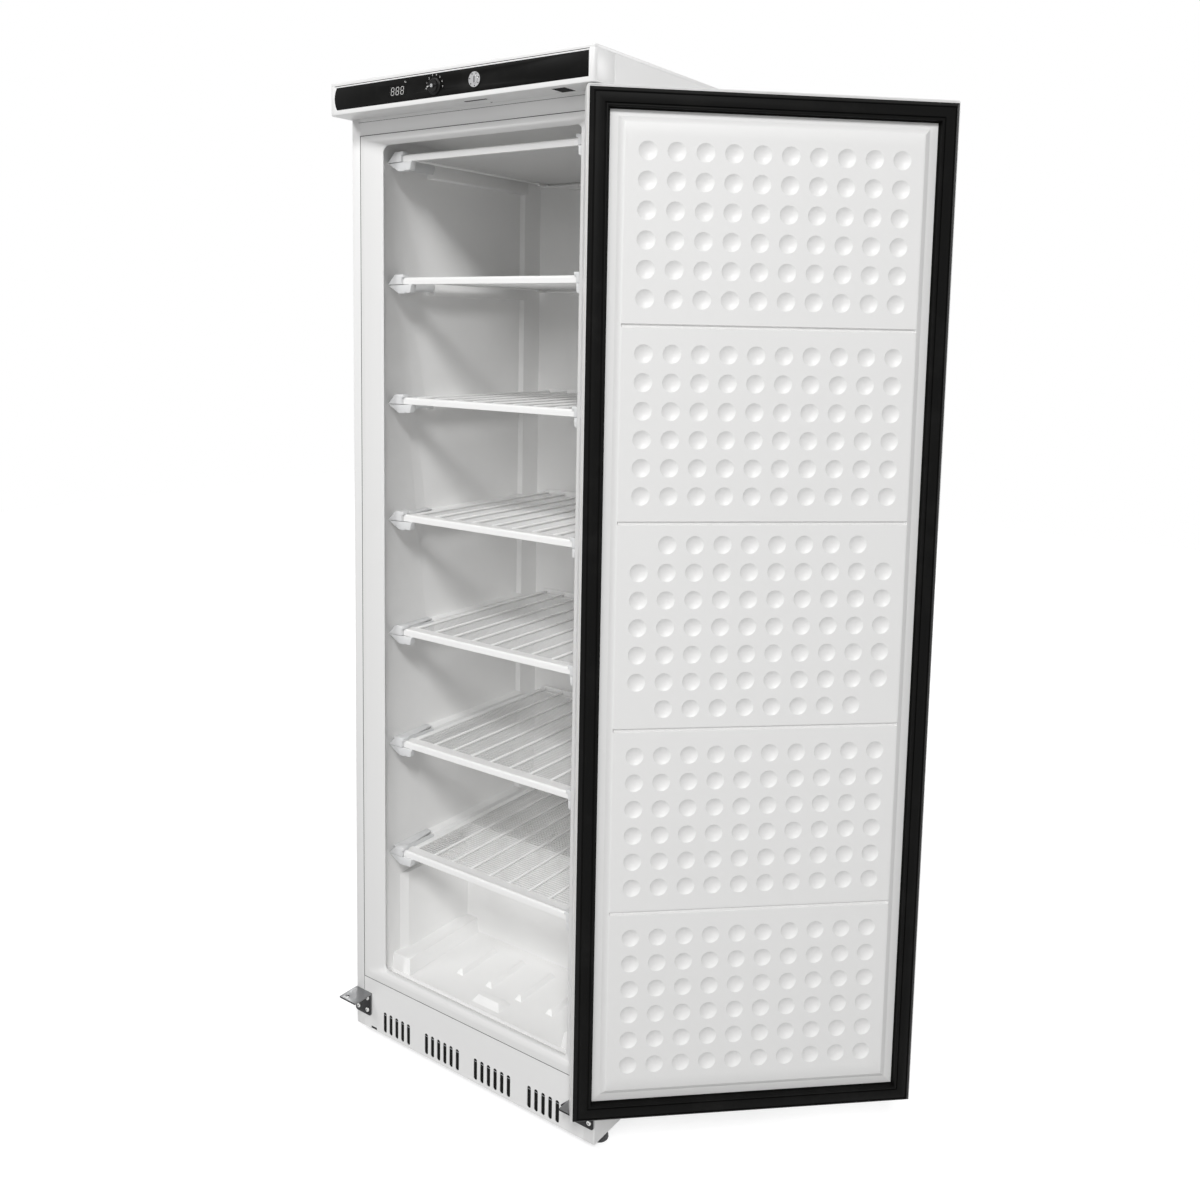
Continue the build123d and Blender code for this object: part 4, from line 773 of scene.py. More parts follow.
def framePiece(shape):
    # rounded rectangles drawn out of one another, each with its own depth on each side
    steps = shape["cornerSteps"]

    def ringPoints(half, top, bottom, sideBack, topBack, bottomBack, radius):
        corners = ((half, top, sideBack, topBack), (-half, top, topBack, sideBack),
                   (-half, bottom, sideBack, bottomBack), (half, bottom, bottomBack, sideBack))
        points = []
        for quarter, (cornerX, cornerZ, first, last) in enumerate(corners):
            centreX = cornerX - radius * (1 if cornerX > 0 else -1)
            centreZ = cornerZ - radius * (1 if cornerZ == top else -1)
            for step in range(steps + 1):
                turn = radians(90 * (quarter + step / steps))
                back = first + (last - first) * step / steps
                points.append((centreX + radius * cos(turn), back, centreZ + radius * sin(turn)))
        return points

    objectMode()
    bpy.ops.mesh.primitive_circle_add(vertices=4 * (steps + 1), radius=1)
    piece = bpy.context.object
    for vertex, spot in zip(piece.data.vertices, ringPoints(*shape["rings"][0])):
        vertex.co = spot
    startEdit()
    for ring, nextRing in zip(shape["rings"], shape["rings"][1:]):
        moves = [(Vector(old), Vector(new)) for old, new in zip(ringPoints(*ring), ringPoints(*nextRing))]
        growEdges(piece, lambda spot: min(moves, key=lambda move: (move[0] - spot).length)[1])
    endEdit(turnOut=True)
    rim = min(piece.data.polygons, key=lambda face: abs(face.center.y) + abs(face.center.x + 0.270))
    if rim.normal.y > 0:
        startEdit()
        bpy.ops.mesh.flip_normals()
        endEdit()
    return piece


def copyOfNode(nodeName):
    # a CAD piece's mesh in an object of its own, with its loose triangles joined
    source = frame["nodes"][nodeName]
    twin = bpy.data.objects.new(nodeName + "Copy", source.data.copy())
    bpy.context.scene.collection.objects.link(twin)
    pickOnly(twin)
    startEdit()
    endEdit(0.00002)
    return twin


def tubPiece(shape):
    # the tub's front edge is opened out to its walls, where the sloping frame meets it
    tub = copyOfNode("inner_liner")
    low, high = shape["tubFront"]
    for vertex in tub.data.vertices:
        x, y, z = vertex.co
        if low < y < high and abs(x) < shape["tubHalf"] - 0.002 and 0.140 < z < shape["tubTop"] - 0.002:
            vertex.co.x = shape["tubHalf"] * (1 if x > 0 else -1)
            vertex.co.z = shape["tubTop"] if z > 1 else shape["tubBottom"]
    return tub


def fillingPiece(shape):
    filling = copyOfNode("cabinet_foam")
    low, high, back = shape["fillingFront"]
    for vertex in filling.data.vertices:
        x, y, z = vertex.co
        if abs(x) < shape["fillingInner"] and y < back + 0.0004 and shape["tubBottom"] < z < shape["tubTop"]:
            vertex.co.x = shape["fillingHalf"] * (1 if x > 0 else -1)
            vertex.co.z += 0.0035 if z > 1 else -0.0085
        if low < y < high:
            vertex.co.y = back
        elif y < shape["sheet"]:
            vertex.co.y = 2 * shape["sheet"]
    return filling


openingFrame = framePiece(frameShape)
finish(openingFrame, "openingFrame", "cabinet", "frame_plastic_painted_shade", ["front_frame"], 40)
tub = tubPiece(frameShape)
soften(tub, 0.0007)
finish(tub, "innerTub", "cabinet", "tub_plastic", ["inner_liner"], 35)
finish(fillingPiece(frameShape), "foamFilling", "cabinet", "foam", ["cabinet_foam"])
# a thin dark ring round the frame: painted shade in the seam
seamShadeShape = {"half": 0.2751, "top": 1.7692, "bottom": 0.1243, "profile": frameShape["seam"]}
finish(ringPiece(seamShadeShape), "frameSeamShade", "cabinet", "grommet_rubber")
print("opening frame and tub modelled")

# Front plate under the door: wider slots, with a dark sheet behind them as painted shade
grilleShape = {
    "groups": ((-0.18400, 5), (-0.06307, 6), (0.06307, 6), (0.18400, 5)),
    "pitch": 0.0161,
    "slot": (0.0084, 0.0425, 0.0455),
    # a dark sheet behind the slots: painted shade for the dark space behind the plate
    "mat": ((-0.252, 0.00102, 0.0210), (0.252, 0.0016, 0.0700)),
}


def grillePiece(shape):
    plate = copyOfNode("base_grille")
    wide, tall, middle = shape["slot"]
    outline = []
    for start, centre in ((0, middle + tall / 2 - wide / 2), (180, middle - tall / 2 + wide / 2)):
        for step in range(7):
            turn = radians(start + 180 * step / 6)
            outline.append((wide / 2 * cos(turn), centre + wide / 2 * sin(turn)))
    cutter = plateShape(outline, 0.004, "front", -0.0015)
    cutters = []
    for groupX, count in shape["groups"]:
        for index in range(count):
            cutters.append(copyOf(cutter, (groupX + (index - (count - 1) / 2) * shape["pitch"], 0, 0)))
    remove(cutter)
    cutters = joinAll(cutters, "slotCutters")
    pickOnly(plate)
    cut = plate.modifiers.new("slots", "BOOLEAN")
    cut.operation = "DIFFERENCE"
    cut.solver = "EXACT"
    cut.object = cutters
    bpy.ops.object.modifier_apply(modifier="slots")
    remove(cutters)
    return plate


grille = grillePiece(grilleShape)
finish(grille, "slottedPlate", "cabinet", "white_steel", ["base_grille"], 35)
finish(block(*grilleShape["mat"], 0.0001, 1), "slotShadeSheet", "cabinet", "gasket_rubber")
print("slotted plate modelled")

# Shelves: a folded rail in front, rods over fine wires, and the cooling tube at the back
shelfShape = {
    "count": 7,
    "top": 1.736,
    "pitch": 0.2236,
    "half": 0.203,
    # section of the rail as (y, height under the shelf's top)
    "rail": ((0.0380, -0.0130), (0.0380, -0.0042), (0.0386, -0.0018), (0.0402, -0.0004), (0.0424, 0.0000),
             (0.0446, -0.0003), (0.0460, -0.0012), (0.0476, -0.0014), (0.0632, -0.0014), (0.0632, -0.0034),
             (0.0466, -0.0034), (0.0452, -0.0048), (0.0452, -0.0130)),
    "rods": 9,
    "rodPitch": 0.0474,
    "rodRadius": 0.0026,
    "rodFront": 0.0625,
    "sideRodRadius": 0.0035,
    "sideRodFront": 0.055,
    "sideRodDrop": 0.006,
    "wireRadius": 0.0008,
    "wirePitch": 0.0066,
    "wireFront": 0.0735,
    "wireBack": 0.4560,
    "wireDrop": 0.0055,
    "barY": 0.465,
    # half outline of the bar as (distance in from the shelf's edge, height over the shelf's top)
    "bar": ((0.004, 0.0038), (0.0, -0.0012), (0.0, -0.0072)),
    "barDepth": 0.005,
    # half of the cooling tube's line as (x, y), from its free end to the middle
    "loop": ((0.198, 0.430), (0.200, 0.458), (0.186, 0.4625), (0.125, 0.4600)),
    "loopDrop": 0.0102,
    "loopRadius": 0.0032,
    "sleeve": (-0.128, -0.112, 0.0046),
}


def shelfPieces(shape):
    top, half, barY = shape["top"], shape["half"], shape["barY"]
    rodZ, sideZ = top - shape["rodRadius"], top - shape["sideRodDrop"]
    parts = [plateShape([(y, top + drop) for y, drop in shape["rail"]], 2 * half, "side", -half, 0.0004, 1)]
    first = rod((0, shape["rodFront"], rodZ), (0, barY, rodZ), shape["rodRadius"], 10, 0.0008)
    for index in range(shape["rods"]):
        parts.append(copyOf(first, ((index - (shape["rods"] - 1) / 2) * shape["rodPitch"], 0, 0)))
    remove(first)
    sideX = half - shape["sideRodRadius"]
    for x in (-sideX, sideX):
        parts.append(rod((x, shape["sideRodFront"], sideZ), (x, barY, sideZ), shape["sideRodRadius"], 12, 0.001))
    rightSide = [(half - inward, top + rise) for inward, rise in shape["bar"]]
    outline = rightSide + [(-x, z) for x, z in reversed(rightSide)]
    parts.append(plateShape(outline[-1:] + outline[:-1], shape["barDepth"], "front", barY, 0.0012, 2))
    # the cooling tube lies along the back and doubles back on itself
    low = top - shape["loopDrop"]
    line = [(-x, y, low) for x, y in shape["loop"]] + [(x, y, low) for x, y in reversed(shape["loop"])]
    parts.append(tube(line, shape["loopRadius"], 0.012, 10))
    start, end, radius = shape["sleeve"]
    backY = shape["loop"][-1][1]
    parts.append(rod((start, backY, low), (end, backY, low), radius, 12, 0.0012))
    whole = joinAll(parts, "shelfFramework")
    wireY, wireZ = shape["wireFront"], top - shape["wireDrop"]
    reach = half - 0.004
    one = rod((-reach, wireY, wireZ), (reach, wireY, wireZ), shape["wireRadius"], 6)
    count = int((shape["wireBack"] - wireY) / shape["wirePitch"]) + 1
    wires = [copyOf(one, (0, index * shape["wirePitch"], 0)) for index in range(count)]
    remove(one)
    return whole, joinAll(wires, "shelfMatPaintedShade")


framework, mat = shelfPieces(shelfShape)
for level in range(shelfShape["count"]):
    lower = (0, 0, -level * shelfShape["pitch"])
    finish(copyOf(framework, lower), f"shelf{level + 1}", "cabinet", "white_wire", [f"shelf_{level + 1}"])
    finish(copyOf(mat, lower), f"shelfMatPaintedShade{level + 1}", "cabinet", "mat_wire_painted_shade",
           ["shelf_wires"] if level == 0 else (), 60)
remove(framework, mat)
print("shelves modelled")

# Clips on the rail ends: a wedge-shaped cap, a curled hook below it and an arm to the wall's ledge
clipShape = {
    "cap": ((-0.2395, -0.0140), (-0.2200, 0.0048), (-0.1990, 0.0052), (-0.1990, -0.0006), (-0.2035, -0.0006),
            (-0.2035, -0.0130)),
    "hook": ((-0.2395, -0.0152), (-0.1870, -0.0136), (-0.1772, -0.0122), (-0.1800, -0.0170), (-0.1824, -0.0280),
             (-0.1905, -0.0292), (-0.1935, -0.0278), (-0.1985, -0.0300), (-0.2120, -0.0300)),
    "front": 0.0335,
    "capDepth": 0.016,
    "hookBack": 0.0015,
    "hookDepth": 0.013,
    "arm": ((-0.2395, 0.046), (-0.2170, 0.046), (-0.2185, 0.090), (-0.2250, 0.1385), (-0.2395, 0.1385)),
    "armDrop": -0.0057,
    "armThick": 0.0025,
    "rib": ((0.046, -0.0270), (0.132, -0.0240), (0.138, -0.0120), (0.134, -0.0060), (0.046, -0.0060)),
    "ribX": -0.2195,
    "ribThick": 0.0020,
    # the hooks on the right are short
    "rightHook": 0.2075,
    "rightShort": 0.85,
    "capFoot": 0.01345,
    "capSide": 0.1985,
}


def clipPiece(shape, top):
    def raised(points):
        return [(across, top + z) for across, z in points]

    front = shape["front"]
    return joinAll([
        plateShape(raised(shape["cap"]), shape["capDepth"], "front", front, 0.0007),
        plateShape(raised(shape["hook"]), shape["hookDepth"], "front", front + shape["hookBack"], 0.0006),
        plateShape(shape["arm"], shape["armThick"], "top", top + shape["armDrop"], 0.0005),
        plateShape(raised(shape["rib"]), shape["ribThick"], "side", shape["ribX"], 0.0004),
    ], "clip")


clip = clipPiece(clipShape, shelfShape["top"])
clips = []
for level in range(shelfShape["count"]):
    drop = level * shelfShape["pitch"]
    left, right = copyOf(clip, (0, 0, -drop)), copyOf(clip, (0, 0, -drop))
    right.data.transform(Matrix.Scale(-1, 4, (1, 0, 0)))
    under, wall = shelfShape["top"] - drop - clipShape["capFoot"], clipShape["rightHook"]
    for vertex in right.data.vertices:
        spot = vertex.co
        if (spot.z < under or spot.x < clipShape["capSide"]) and spot.x < wall:
            spot.x += (wall - spot.x) * clipShape["rightShort"]
    clips += [left, right]
remove(clip)
clips = joinAll(clips, "clips")
startEdit()
endEdit(0.00001, True)
finish(clips, "shelfClips", "cabinet", "clip_plastic", ["shelf_clips"])
print("clips modelled")

# Controls on the dark strip
stripShape = {
    "face": -0.0525,
    "middle": 1.8265,
    "digits": {"x": -0.124, "height": 0.0125, "width": 0.0066, "pitch": 0.0116, "line": 0.0010, "lean": 0.10},
    "unit": (-0.1050, 1.8386, 0.0042),
    "dial": {"x": -0.0361, "z": 1.8246, "marks": 8, "radius": 0.0172, "first": 186, "last": -6, "size": 0.0044},
}


def segmentPlate(start, end, line, level):
    # one bar of a numeral: a flat hexagon with pointed ends
    start, end = Vector(start), Vector(end)
    along = (end - start).normalized()
    across = Vector((-along.y, along.x)) * line / 2
    tip = along * line / 2
    points = [start, start + tip + across, end - tip + across, end, end - tip - across, start + tip - across]
    return plateShape([tuple(p) for p in points], 0.00025, "front", level)


def digitPiece(shape, face, middle):
    # seven bars of an unlit numeral, three times over
    wide, tall, line = shape["width"], shape["height"], shape["line"]
    gap = line * 0.42
    bars = []
    for place in (-1, 0, 1):
        centre = shape["x"] + place * shape["pitch"]
        for x0, z0, x1, z1 in ((-1, 1, 1, 1), (-1, 0, 1, 0), (-1, -1, 1, -1), (-1, 0, -1, 1), (1, 0, 1, 1),
                               (-1, -1, -1, 0), (1, -1, 1, 0)):
            ends = []
            for x, z in ((x0, z0), (x1, z1)):
                ends.append(Vector((centre + x * wide / 2 + z * tall / 2 * shape["lean"], middle + z * tall / 2)))
            along = (ends[1] - ends[0]).normalized() * gap
            bars.append(segmentPlate(ends[0] + along, ends[1] - along, line, face))
    return joinAll(bars, "digits")


def writing(words, x, z, size, face):
    # small raised characters that face the front
    objectMode()
    bpy.ops.object.text_add()
    text = bpy.context.object.data
    text.body = words
    text.size = size
    text.align_x = text.align_y = "CENTER"
    text.extrude = 0.0001
    text.resolution_u = 3
    bpy.ops.object.convert(target="MESH")
    piece = bpy.context.object
    piece.data.transform(standing((x, face, z)))
    return piece


display = digitPiece(stripShape["digits"], stripShape["face"] - 0.0002, stripShape["middle"] - 0.0008)
finish(display, "displayDigits", "cabinet", "display_marks")
marks = []
unitX, unitZ, unitSize = stripShape["unit"]
marks.append(writing("C", unitX + 0.0012, unitZ, unitSize, stripShape["face"] - 0.0001))
objectMode()
bpy.ops.mesh.primitive_torus_add(major_radius=0.00065, minor_radius=0.00018, major_segments=16, minor_segments=6,
                                 location=(unitX - 0.0016, stripShape["face"] - 0.0001, unitZ + 0.0012),
                                 rotation=(pi / 2, 0, 0))
ringMark = bpy.context.object
place(ringMark)
marks.append(ringMark)
dial = stripShape["dial"]
for index in range(dial["marks"]):
    turn = radians(dial["first"] + (dial["last"] - dial["first"]) * index / (dial["marks"] - 1))
    marks.append(writing(str(index), dial["x"] + dial["radius"] * 1.10 * cos(turn),
                         dial["z"] + dial["radius"] * 1.10 * sin(turn), dial["size"], stripShape["face"] - 0.0001))
finish(joinAll(marks, "stripMarks"), "stripMarks", "cabinet", "print_marks")

knobShape = {
    "centre": (-0.0361, -0.0528, 1.8246),
    "profile": ((0.0, 0.0), (0.0140, 0.0), (0.0140, 0.0012), (0.0134, 0.0018), (0.0118, 0.0021), (0.0113, 0.0026),
                (0.0107, 0.0052), (0.0101, 0.0058), (0.0, 0.0059)),
    "ribs": 36,
    # heights between which the side is ribbed, the radius outside which it is, and how far in the valleys lie
    "ribbed": (0.0023, 0.0056, 0.009, 0.955),
    "grip": (0.0236, 0.0056, 0.0078),
    "gripFoot": 0.002,
    "gripTop": (0.90, 0.62, 1),
    "dot": ((0.0, 0.0), (0.0012, 0.0), (0.0011, 0.0003), (0.0, 0.0004)),
    "dotX": 0.0090,
    # the light line on the grip's top is a painted highlight
    "line": (0.0040, 0.0088, 0.0003),
    "pointer": 186,
}


def knobPiece(shape):
    # a turned skirt and drum, fluted round the side, with a grip bar and a dot at its pointer end, and a thin light
    # line on the grip's top as a painted highlight
    body = turned(shape["profile"], shape["ribs"] * 2)
    flute(body, shape["ribs"], *shape["ribbed"])
    length, width, height = shape["grip"]
    grip = block((-length / 2, -width / 2, shape["gripFoot"]), (length / 2, width / 2, height), 0.0014, 3)
    startEdit()
    choose(grip, "verts", lambda spot, vertex: spot.z > height * 0.7)
    bpy.ops.transform.resize(value=shape["gripTop"], center_override=(0, 0, height))
    endEdit()
    dot = turned(shape["dot"], 16, (shape["dotX"], 0, height - 0.0002))
    start, end, half = shape["line"]
    line = block((start, -half, height - 0.0001), (end, half, height + 0.0001), 0.0001, 1)
    whole, mark = joinAll([body, grip], "knob"), joinAll([dot, line], "mark")
    for piece in (whole, mark):
        piece.data.transform(standing(shape["centre"]) @ Matrix.Rotation(radians(shape["pointer"]), 4, "Z"))
    return whole, mark


knob, knobMarkAndHighlight = knobPiece(knobShape)
finish(knob, "thermostatKnob", "thermostat", "knob_plastic", ["thermostat_knob"], 30)
finish(knobMarkAndHighlight, "thermostatPointerAndHighlight", "thermostat", "print_marks")

lockShape = {
    "centre": (0.055, -0.0525, 1.8263),
    "ring": ((0.0113, -0.0002), (0.0113, 0.0009), (0.0109, 0.0016), (0.0101, 0.0020), (0.0092, 0.0017),
             (0.0089, 0.0004), (0.0078, 0.0003)),
    "barrel": ((0.0, 0.0), (0.0068, 0.0), (0.0068, 0.0016), (0.0064, 0.0022), (0.0054, 0.0024), (0.0048, 0.0016),
               (0.0040, 0.0014), (0.0, 0.0014)),
    "well": ((0.0, 0.0), (0.0090, 0.0), (0.0090, 0.0006), (0.0, 0.0006)),
    "slot": ((-0.0010, -0.0052, 0.0010), (0.0010, 0.0052, 0.0026)),
    "notches": 7,
    "notch": ((0.00905, -0.0009, 0.0010), (0.01115, 0.0009, 0.0022)),
}


def lockPieces(shape):
    # a plated ring stays, the barrel turns; the dark well round the barrel, the ring's dark notches and the key slot
    # are dark blocks painted as shade
    ring, well, barrel = (turned(shape[name], sides) for name, sides in (("ring", 48), ("well", 40), ("barrel", 40)))
    keySlotShade = block(*shape["slot"], 0.0001, 1)
    shadeParts = [well]
    for index in range(shape["notches"]):
        notch = block(*shape["notch"], 0.0001, 1)
        notch.data.transform(Matrix.Rotation(tau * (index + 0.3) / shape["notches"], 4, "Z"))
        shadeParts.append(notch)
    pieces = (ring, barrel, keySlotShade, joinAll(shadeParts, "lockWellShade"))
    for piece in pieces:
        piece.data.transform(standing(shape["centre"]))
    return pieces


lockRing, lockFace, keySlotShade, lockWellShade = lockPieces(lockShape)
finish(lockRing, "lockRing", "cabinet", "lock_plating")
finish(lockFace, "lockFace", "lock", "lock_plating")
# the key slot and the well are dark blocks as painted shade
finish(keySlotShade, "lockKeySlotShade", "lock", "gasket_rubber")
finish(lockWellShade, "lockWellShade", "cabinet", "gasket_rubber")
print("controls modelled")

# Painted shade: thin dark blocks where gaps and holes lie in shadow, under the lid, on the header, at the lock's slot
# and its stop, in the pocket beside the hinge, at the base plate's side seams and in a dash at its lower edge
gapShadeShape = {
    "lidSeam": ((-0.2840, -0.05225, 1.84830), (0.2870, -0.0515, 1.84935)),
    "headerSeam": ((-0.2790, -0.00015, 1.79290), (0.2960, 0.0004, 1.79345)),
    "lockSlot": ((0.0110, -0.03120, 1.79880), (0.0600, -0.02680, 1.7995)),
    "slotStop": ((0.0470, -0.0052, 1.79880), (0.0500, -0.0022, 1.7992)),
    "pocket": ((0.2020, -0.0370, 1.79885), (0.2285, -0.0080, 1.7995)),
    "leftPlateSeam": ((-0.27515, -0.00018, 0.0950), (-0.2744, 0.0004, 0.1240)),
    "rightPlateSeam": ((0.2744, -0.00018, 0.0950), (0.27515, 0.0004, 0.1240)),
    "plateDash": ((-0.2550, -0.00018, 0.0205), (-0.2400, 0.0004, 0.0245)),
}
shadeBlocks = [block(low, high, 0.00008, 1) for low, high in gapShadeShape.values()]
finish(joinAll(shadeBlocks, "gapShadeBlocks"), "gapShadeBlocks", "cabinet", "gasket_rubber")

# Screw heads on both lower hinge plates, with a dark cross painted on each as the shade in its crossed recess
screwShape = {"x": 0.2755, "z": 0.070, "spacing": 0.025, "seat": -0.003, "radius": 0.0046, "height": 0.0026}


def screwHead(shape):
    radius, height = shape["radius"], shape["height"]
    head = turned(((0.0, 0.0), (radius, 0.0), (radius, height * 0.35), (radius * 0.88, height * 0.72),
                   (radius * 0.60, height * 0.94), (radius * 0.26, height), (0.0, height)), 20)
    bars = []
    for quarter in (0, 1):
        bar = block((-radius * 0.52, -radius * 0.12, height * 0.9), (radius * 0.52, radius * 0.12, height * 1.04))
        bar.data.transform(Matrix.Rotation(quarter * pi / 2 + 0.5, 4, "Z"))
        bars.append(bar)
    return head, joinAll(bars, "recessShade")


head, recessShade = screwHead(screwShape)
heads, recessShades = [], []
for side in (-1, 1):
    for across in (-0.5, 0.5):
        for up in (-0.5, 0.5):
            spot = standing((side * screwShape["x"] + across * screwShape["spacing"], screwShape["seat"],
                             screwShape["z"] + up * screwShape["spacing"]))
            for source, collected in ((head, heads), (recessShade, recessShades)):
                twin = copyOf(source)
                twin.data.transform(spot)
                collected.append(twin)
remove(head, recessShade)
finish(joinAll(heads, "hingeScrewHeads"), "hingeScrewHeads", "cabinet", "screw_zinc", ["hinge_screws"])
finish(joinAll(recessShades, "hingeScrewRecessShade"), "hingeScrewRecessShade", "cabinet", "black_plastic")
print("hinge screws modelled")

# Screw feet: a ribbed pad, a nut and a threaded stud
footShape = {
    "places": {"front_left": (-0.2795, 0.042), "front_right": (0.2795, 0.042),
               "rear_left": (-0.2795, 0.500), "rear_right": (0.2795, 0.500)},
    "pad": ((0.0, 0.0), (0.0148, 0.0), (0.0160, 0.0012), (0.0158, 0.0052), (0.0150, 0.0080), (0.0138, 0.0104),
            (0.0118, 0.0110), (0.0, 0.0110)),
    "grips": 24,
    "gripped": (0.001, 0.0095, 0.012, 0.965),
    "nut": (0.0108, 0.0177, 0.0085),
    "stud": (0.0175, 0.052, 0.0050),
    # foot and run of the thread, radius lost at its valley and at its crest, and the rise between them
    "thread": (0.0177, 0.0335, 0.0005, 0.0001, 0.0006),
    "threads": 26,
    "tip": 0.0009,
}


def footPiece(shape):
    pad = turned(shape["pad"], shape["grips"] * 2)
    flute(pad, shape["grips"], *shape["gripped"])
    foot, top, radius = shape["stud"]
    threadFoot, run, valley, crest, rise = shape["thread"]
    profile = [(0.0, foot)]
    for turn in range(shape["threads"]):
        low = threadFoot + turn * run / shape["threads"]
        profile += [(radius - valley, low), (radius - crest, low + rise)]
    profile += [(radius - shape["tip"], top), (0.0, top)]
    stud = turned(profile, 16)
    low, high, radius = shape["nut"]
    nut = rod((0, 0, low), (0, 0, high), radius, 6, 0.0008)
    return pad, joinAll([stud, nut], "stud")


pad, stud = footPiece(footShape)
for spotName, (x, y) in footShape["places"].items():
    finish(copyOf(pad, (x, y, 0)), f"footPad.{spotName}", f"foot_{spotName}", "black_plastic", [f"foot_{spotName}"])
    finish(copyOf(stud, (x, y, 0)), f"footStud.{spotName}", f"foot_{spotName}", "screw_zinc")
remove(pad, stud)
print("feet modelled")

# Condenser on the back: one tube folded to and fro, with upright wires on both of its sides
condenserShape = {
    "half": 0.220,
    "y": 0.545,
    "low": 0.400,
    "pitch": 0.088,
    "runs": 15,
    "drierTop": 0.286,
    "radius": 0.0029,
    "wires": 34,
    "wireRadius": 0.0009,
    "wireHalf": 0.200,
    "pipe": ((0.050, 0.425, 0.199), (0.050, 0.425, 0.250), (-0.232, 0.425, 0.250), (-0.232, 0.545, 0.250),
             (-0.232, 0.545, 1.632), (-0.2203, 0.545, 1.632)),
    "suction": ((0.090, 0.425, 0.199), (0.090, 0.425, 0.3165)),
    "drier": ((0.0029, 0.0), (0.0040, 0.004), (0.0086, 0.013), (0.0089, 0.017), (0.0089, 0.072), (0.0086, 0.076),
              (0.0040, 0.085), (0.0031, 0.0895)),
    "drierPlace": (0.220, 0.545, 0.196),
    "riser": ((0.096, 0.4755, 0.393), (0.096, 0.4755, 1.7345)),
    "riserRadius": 0.0036,
}


def condenserPieces(shape):
    half, y = shape["half"], shape["y"]
    points = [(half, y, shape["drierTop"])]
    for run in range(shape["runs"]):
        z = shape["low"] + run * shape["pitch"]
        start = half if run % 2 == 0 else -half
        points += [(start, y, z), (-start, y, z)]
    coil = tube(points, shape["radius"], 0.018, 12, 5)
    top = shape["low"] + (shape["runs"] - 1) * shape["pitch"] + 0.012
    offset = shape["radius"] + shape["wireRadius"] * 0.7
    one = rod((0, 0, shape["low"] - 0.012), (0, 0, top), shape["wireRadius"], 5)
    wires = []
    for index in range(shape["wires"]):
        x = (index / (shape["wires"] - 1) * 2 - 1) * shape["wireHalf"]
        wires += [copyOf(one, (x, y + offset, 0)), copyOf(one, (x, y - offset, 0))]
    remove(one)
    return coil, joinAll(wires, "wires")


coil, coilWires = condenserPieces(condenserShape)
finish(coil, "condenserCoil", "cabinet", "black_paint", ["condenser_tube"], 50)
finish(coilWires, "condenserCoilWires", "cabinet", "black_paint", ["condenser_wires"], 60)
pipeRadius = condenserShape["radius"]
pipes = joinAll([tube(condenserShape["pipe"], pipeRadius, 0.016, 12, 5), tube(condenserShape["suction"], pipeRadius)],
                "pipes")
finish(pipes, "coolingPipes", "cabinet", "copper", ["refrigerant_pipes"], 50)
drier = turned(condenserShape["drier"], 24, condenserShape["drierPlace"])
finish(drier, "filterDrier", "cabinet", "copper", ["filter_drier"])
riser = tube(condenserShape["riser"], condenserShape["riserRadius"], 0, 12)
finish(riser, "evaporatorRiser", "cabinet", "white_wire", ["evaporator_risers"])
print("condenser modelled")

# Compressor: a drawn shell welded round its middle, on a plate with four rubber grommets
compressorShape = {
    "centre": (0.070, 0.425),
    "half": (0.100, 0.075),
    "low": 0.036,
    "height": 0.165,
    "sections": ((0.000, 0.62), (0.010, 0.74), (0.040, 0.86), (0.110, 0.955), (0.250, 0.995), (0.420, 1.000),
                 (0.455, 1.000), (0.458, 1.018), (0.478, 1.018), (0.481, 0.985), (0.600, 0.970), (0.740, 0.910),
                 (0.860, 0.800), (0.940, 0.640), (0.985, 0.420), (1.000, 0.200)),
    # the two points of one corner of the plate
    "plate": ((0.104, 0.0408), (0.07488, 0.068)),
    "plateLow": 0.0331,
    "plateThick": 0.0029,
    "stub": ((0.060, -0.030, 0.165), (0.060, -0.030, 0.205), (0.085, -0.030, 0.215)),
    "stubRadius": 0.0028,
    "grommets": (0.085, 0.050),
    "grommetLow": 0.0191,
    "grommet": ((0.0, 0.0), (0.0105, 0.0), (0.0110, 0.0014), (0.0110, 0.0040), (0.0096, 0.0052), (0.0096, 0.0085),
                (0.0110, 0.0098), (0.0110, 0.0124), (0.0102, 0.0138), (0.0, 0.0138)),
    "relay": ((-0.074, 0.397, 0.110), (-0.0304, 0.453, 0.172)),
    "relayLid": ((-0.071, 0.396, 0.120), (-0.0388, 0.454, 0.162)),
}


def ovalPoint(turn, halfX, halfY):
    # a rounded outline between an ellipse and a rectangle
    x, y = cos(turn), sin(turn)
    return (halfX * abs(x) ** 0.80 * (1 if x >= 0 else -1), halfY * abs(y) ** 0.80 * (1 if y >= 0 else -1))


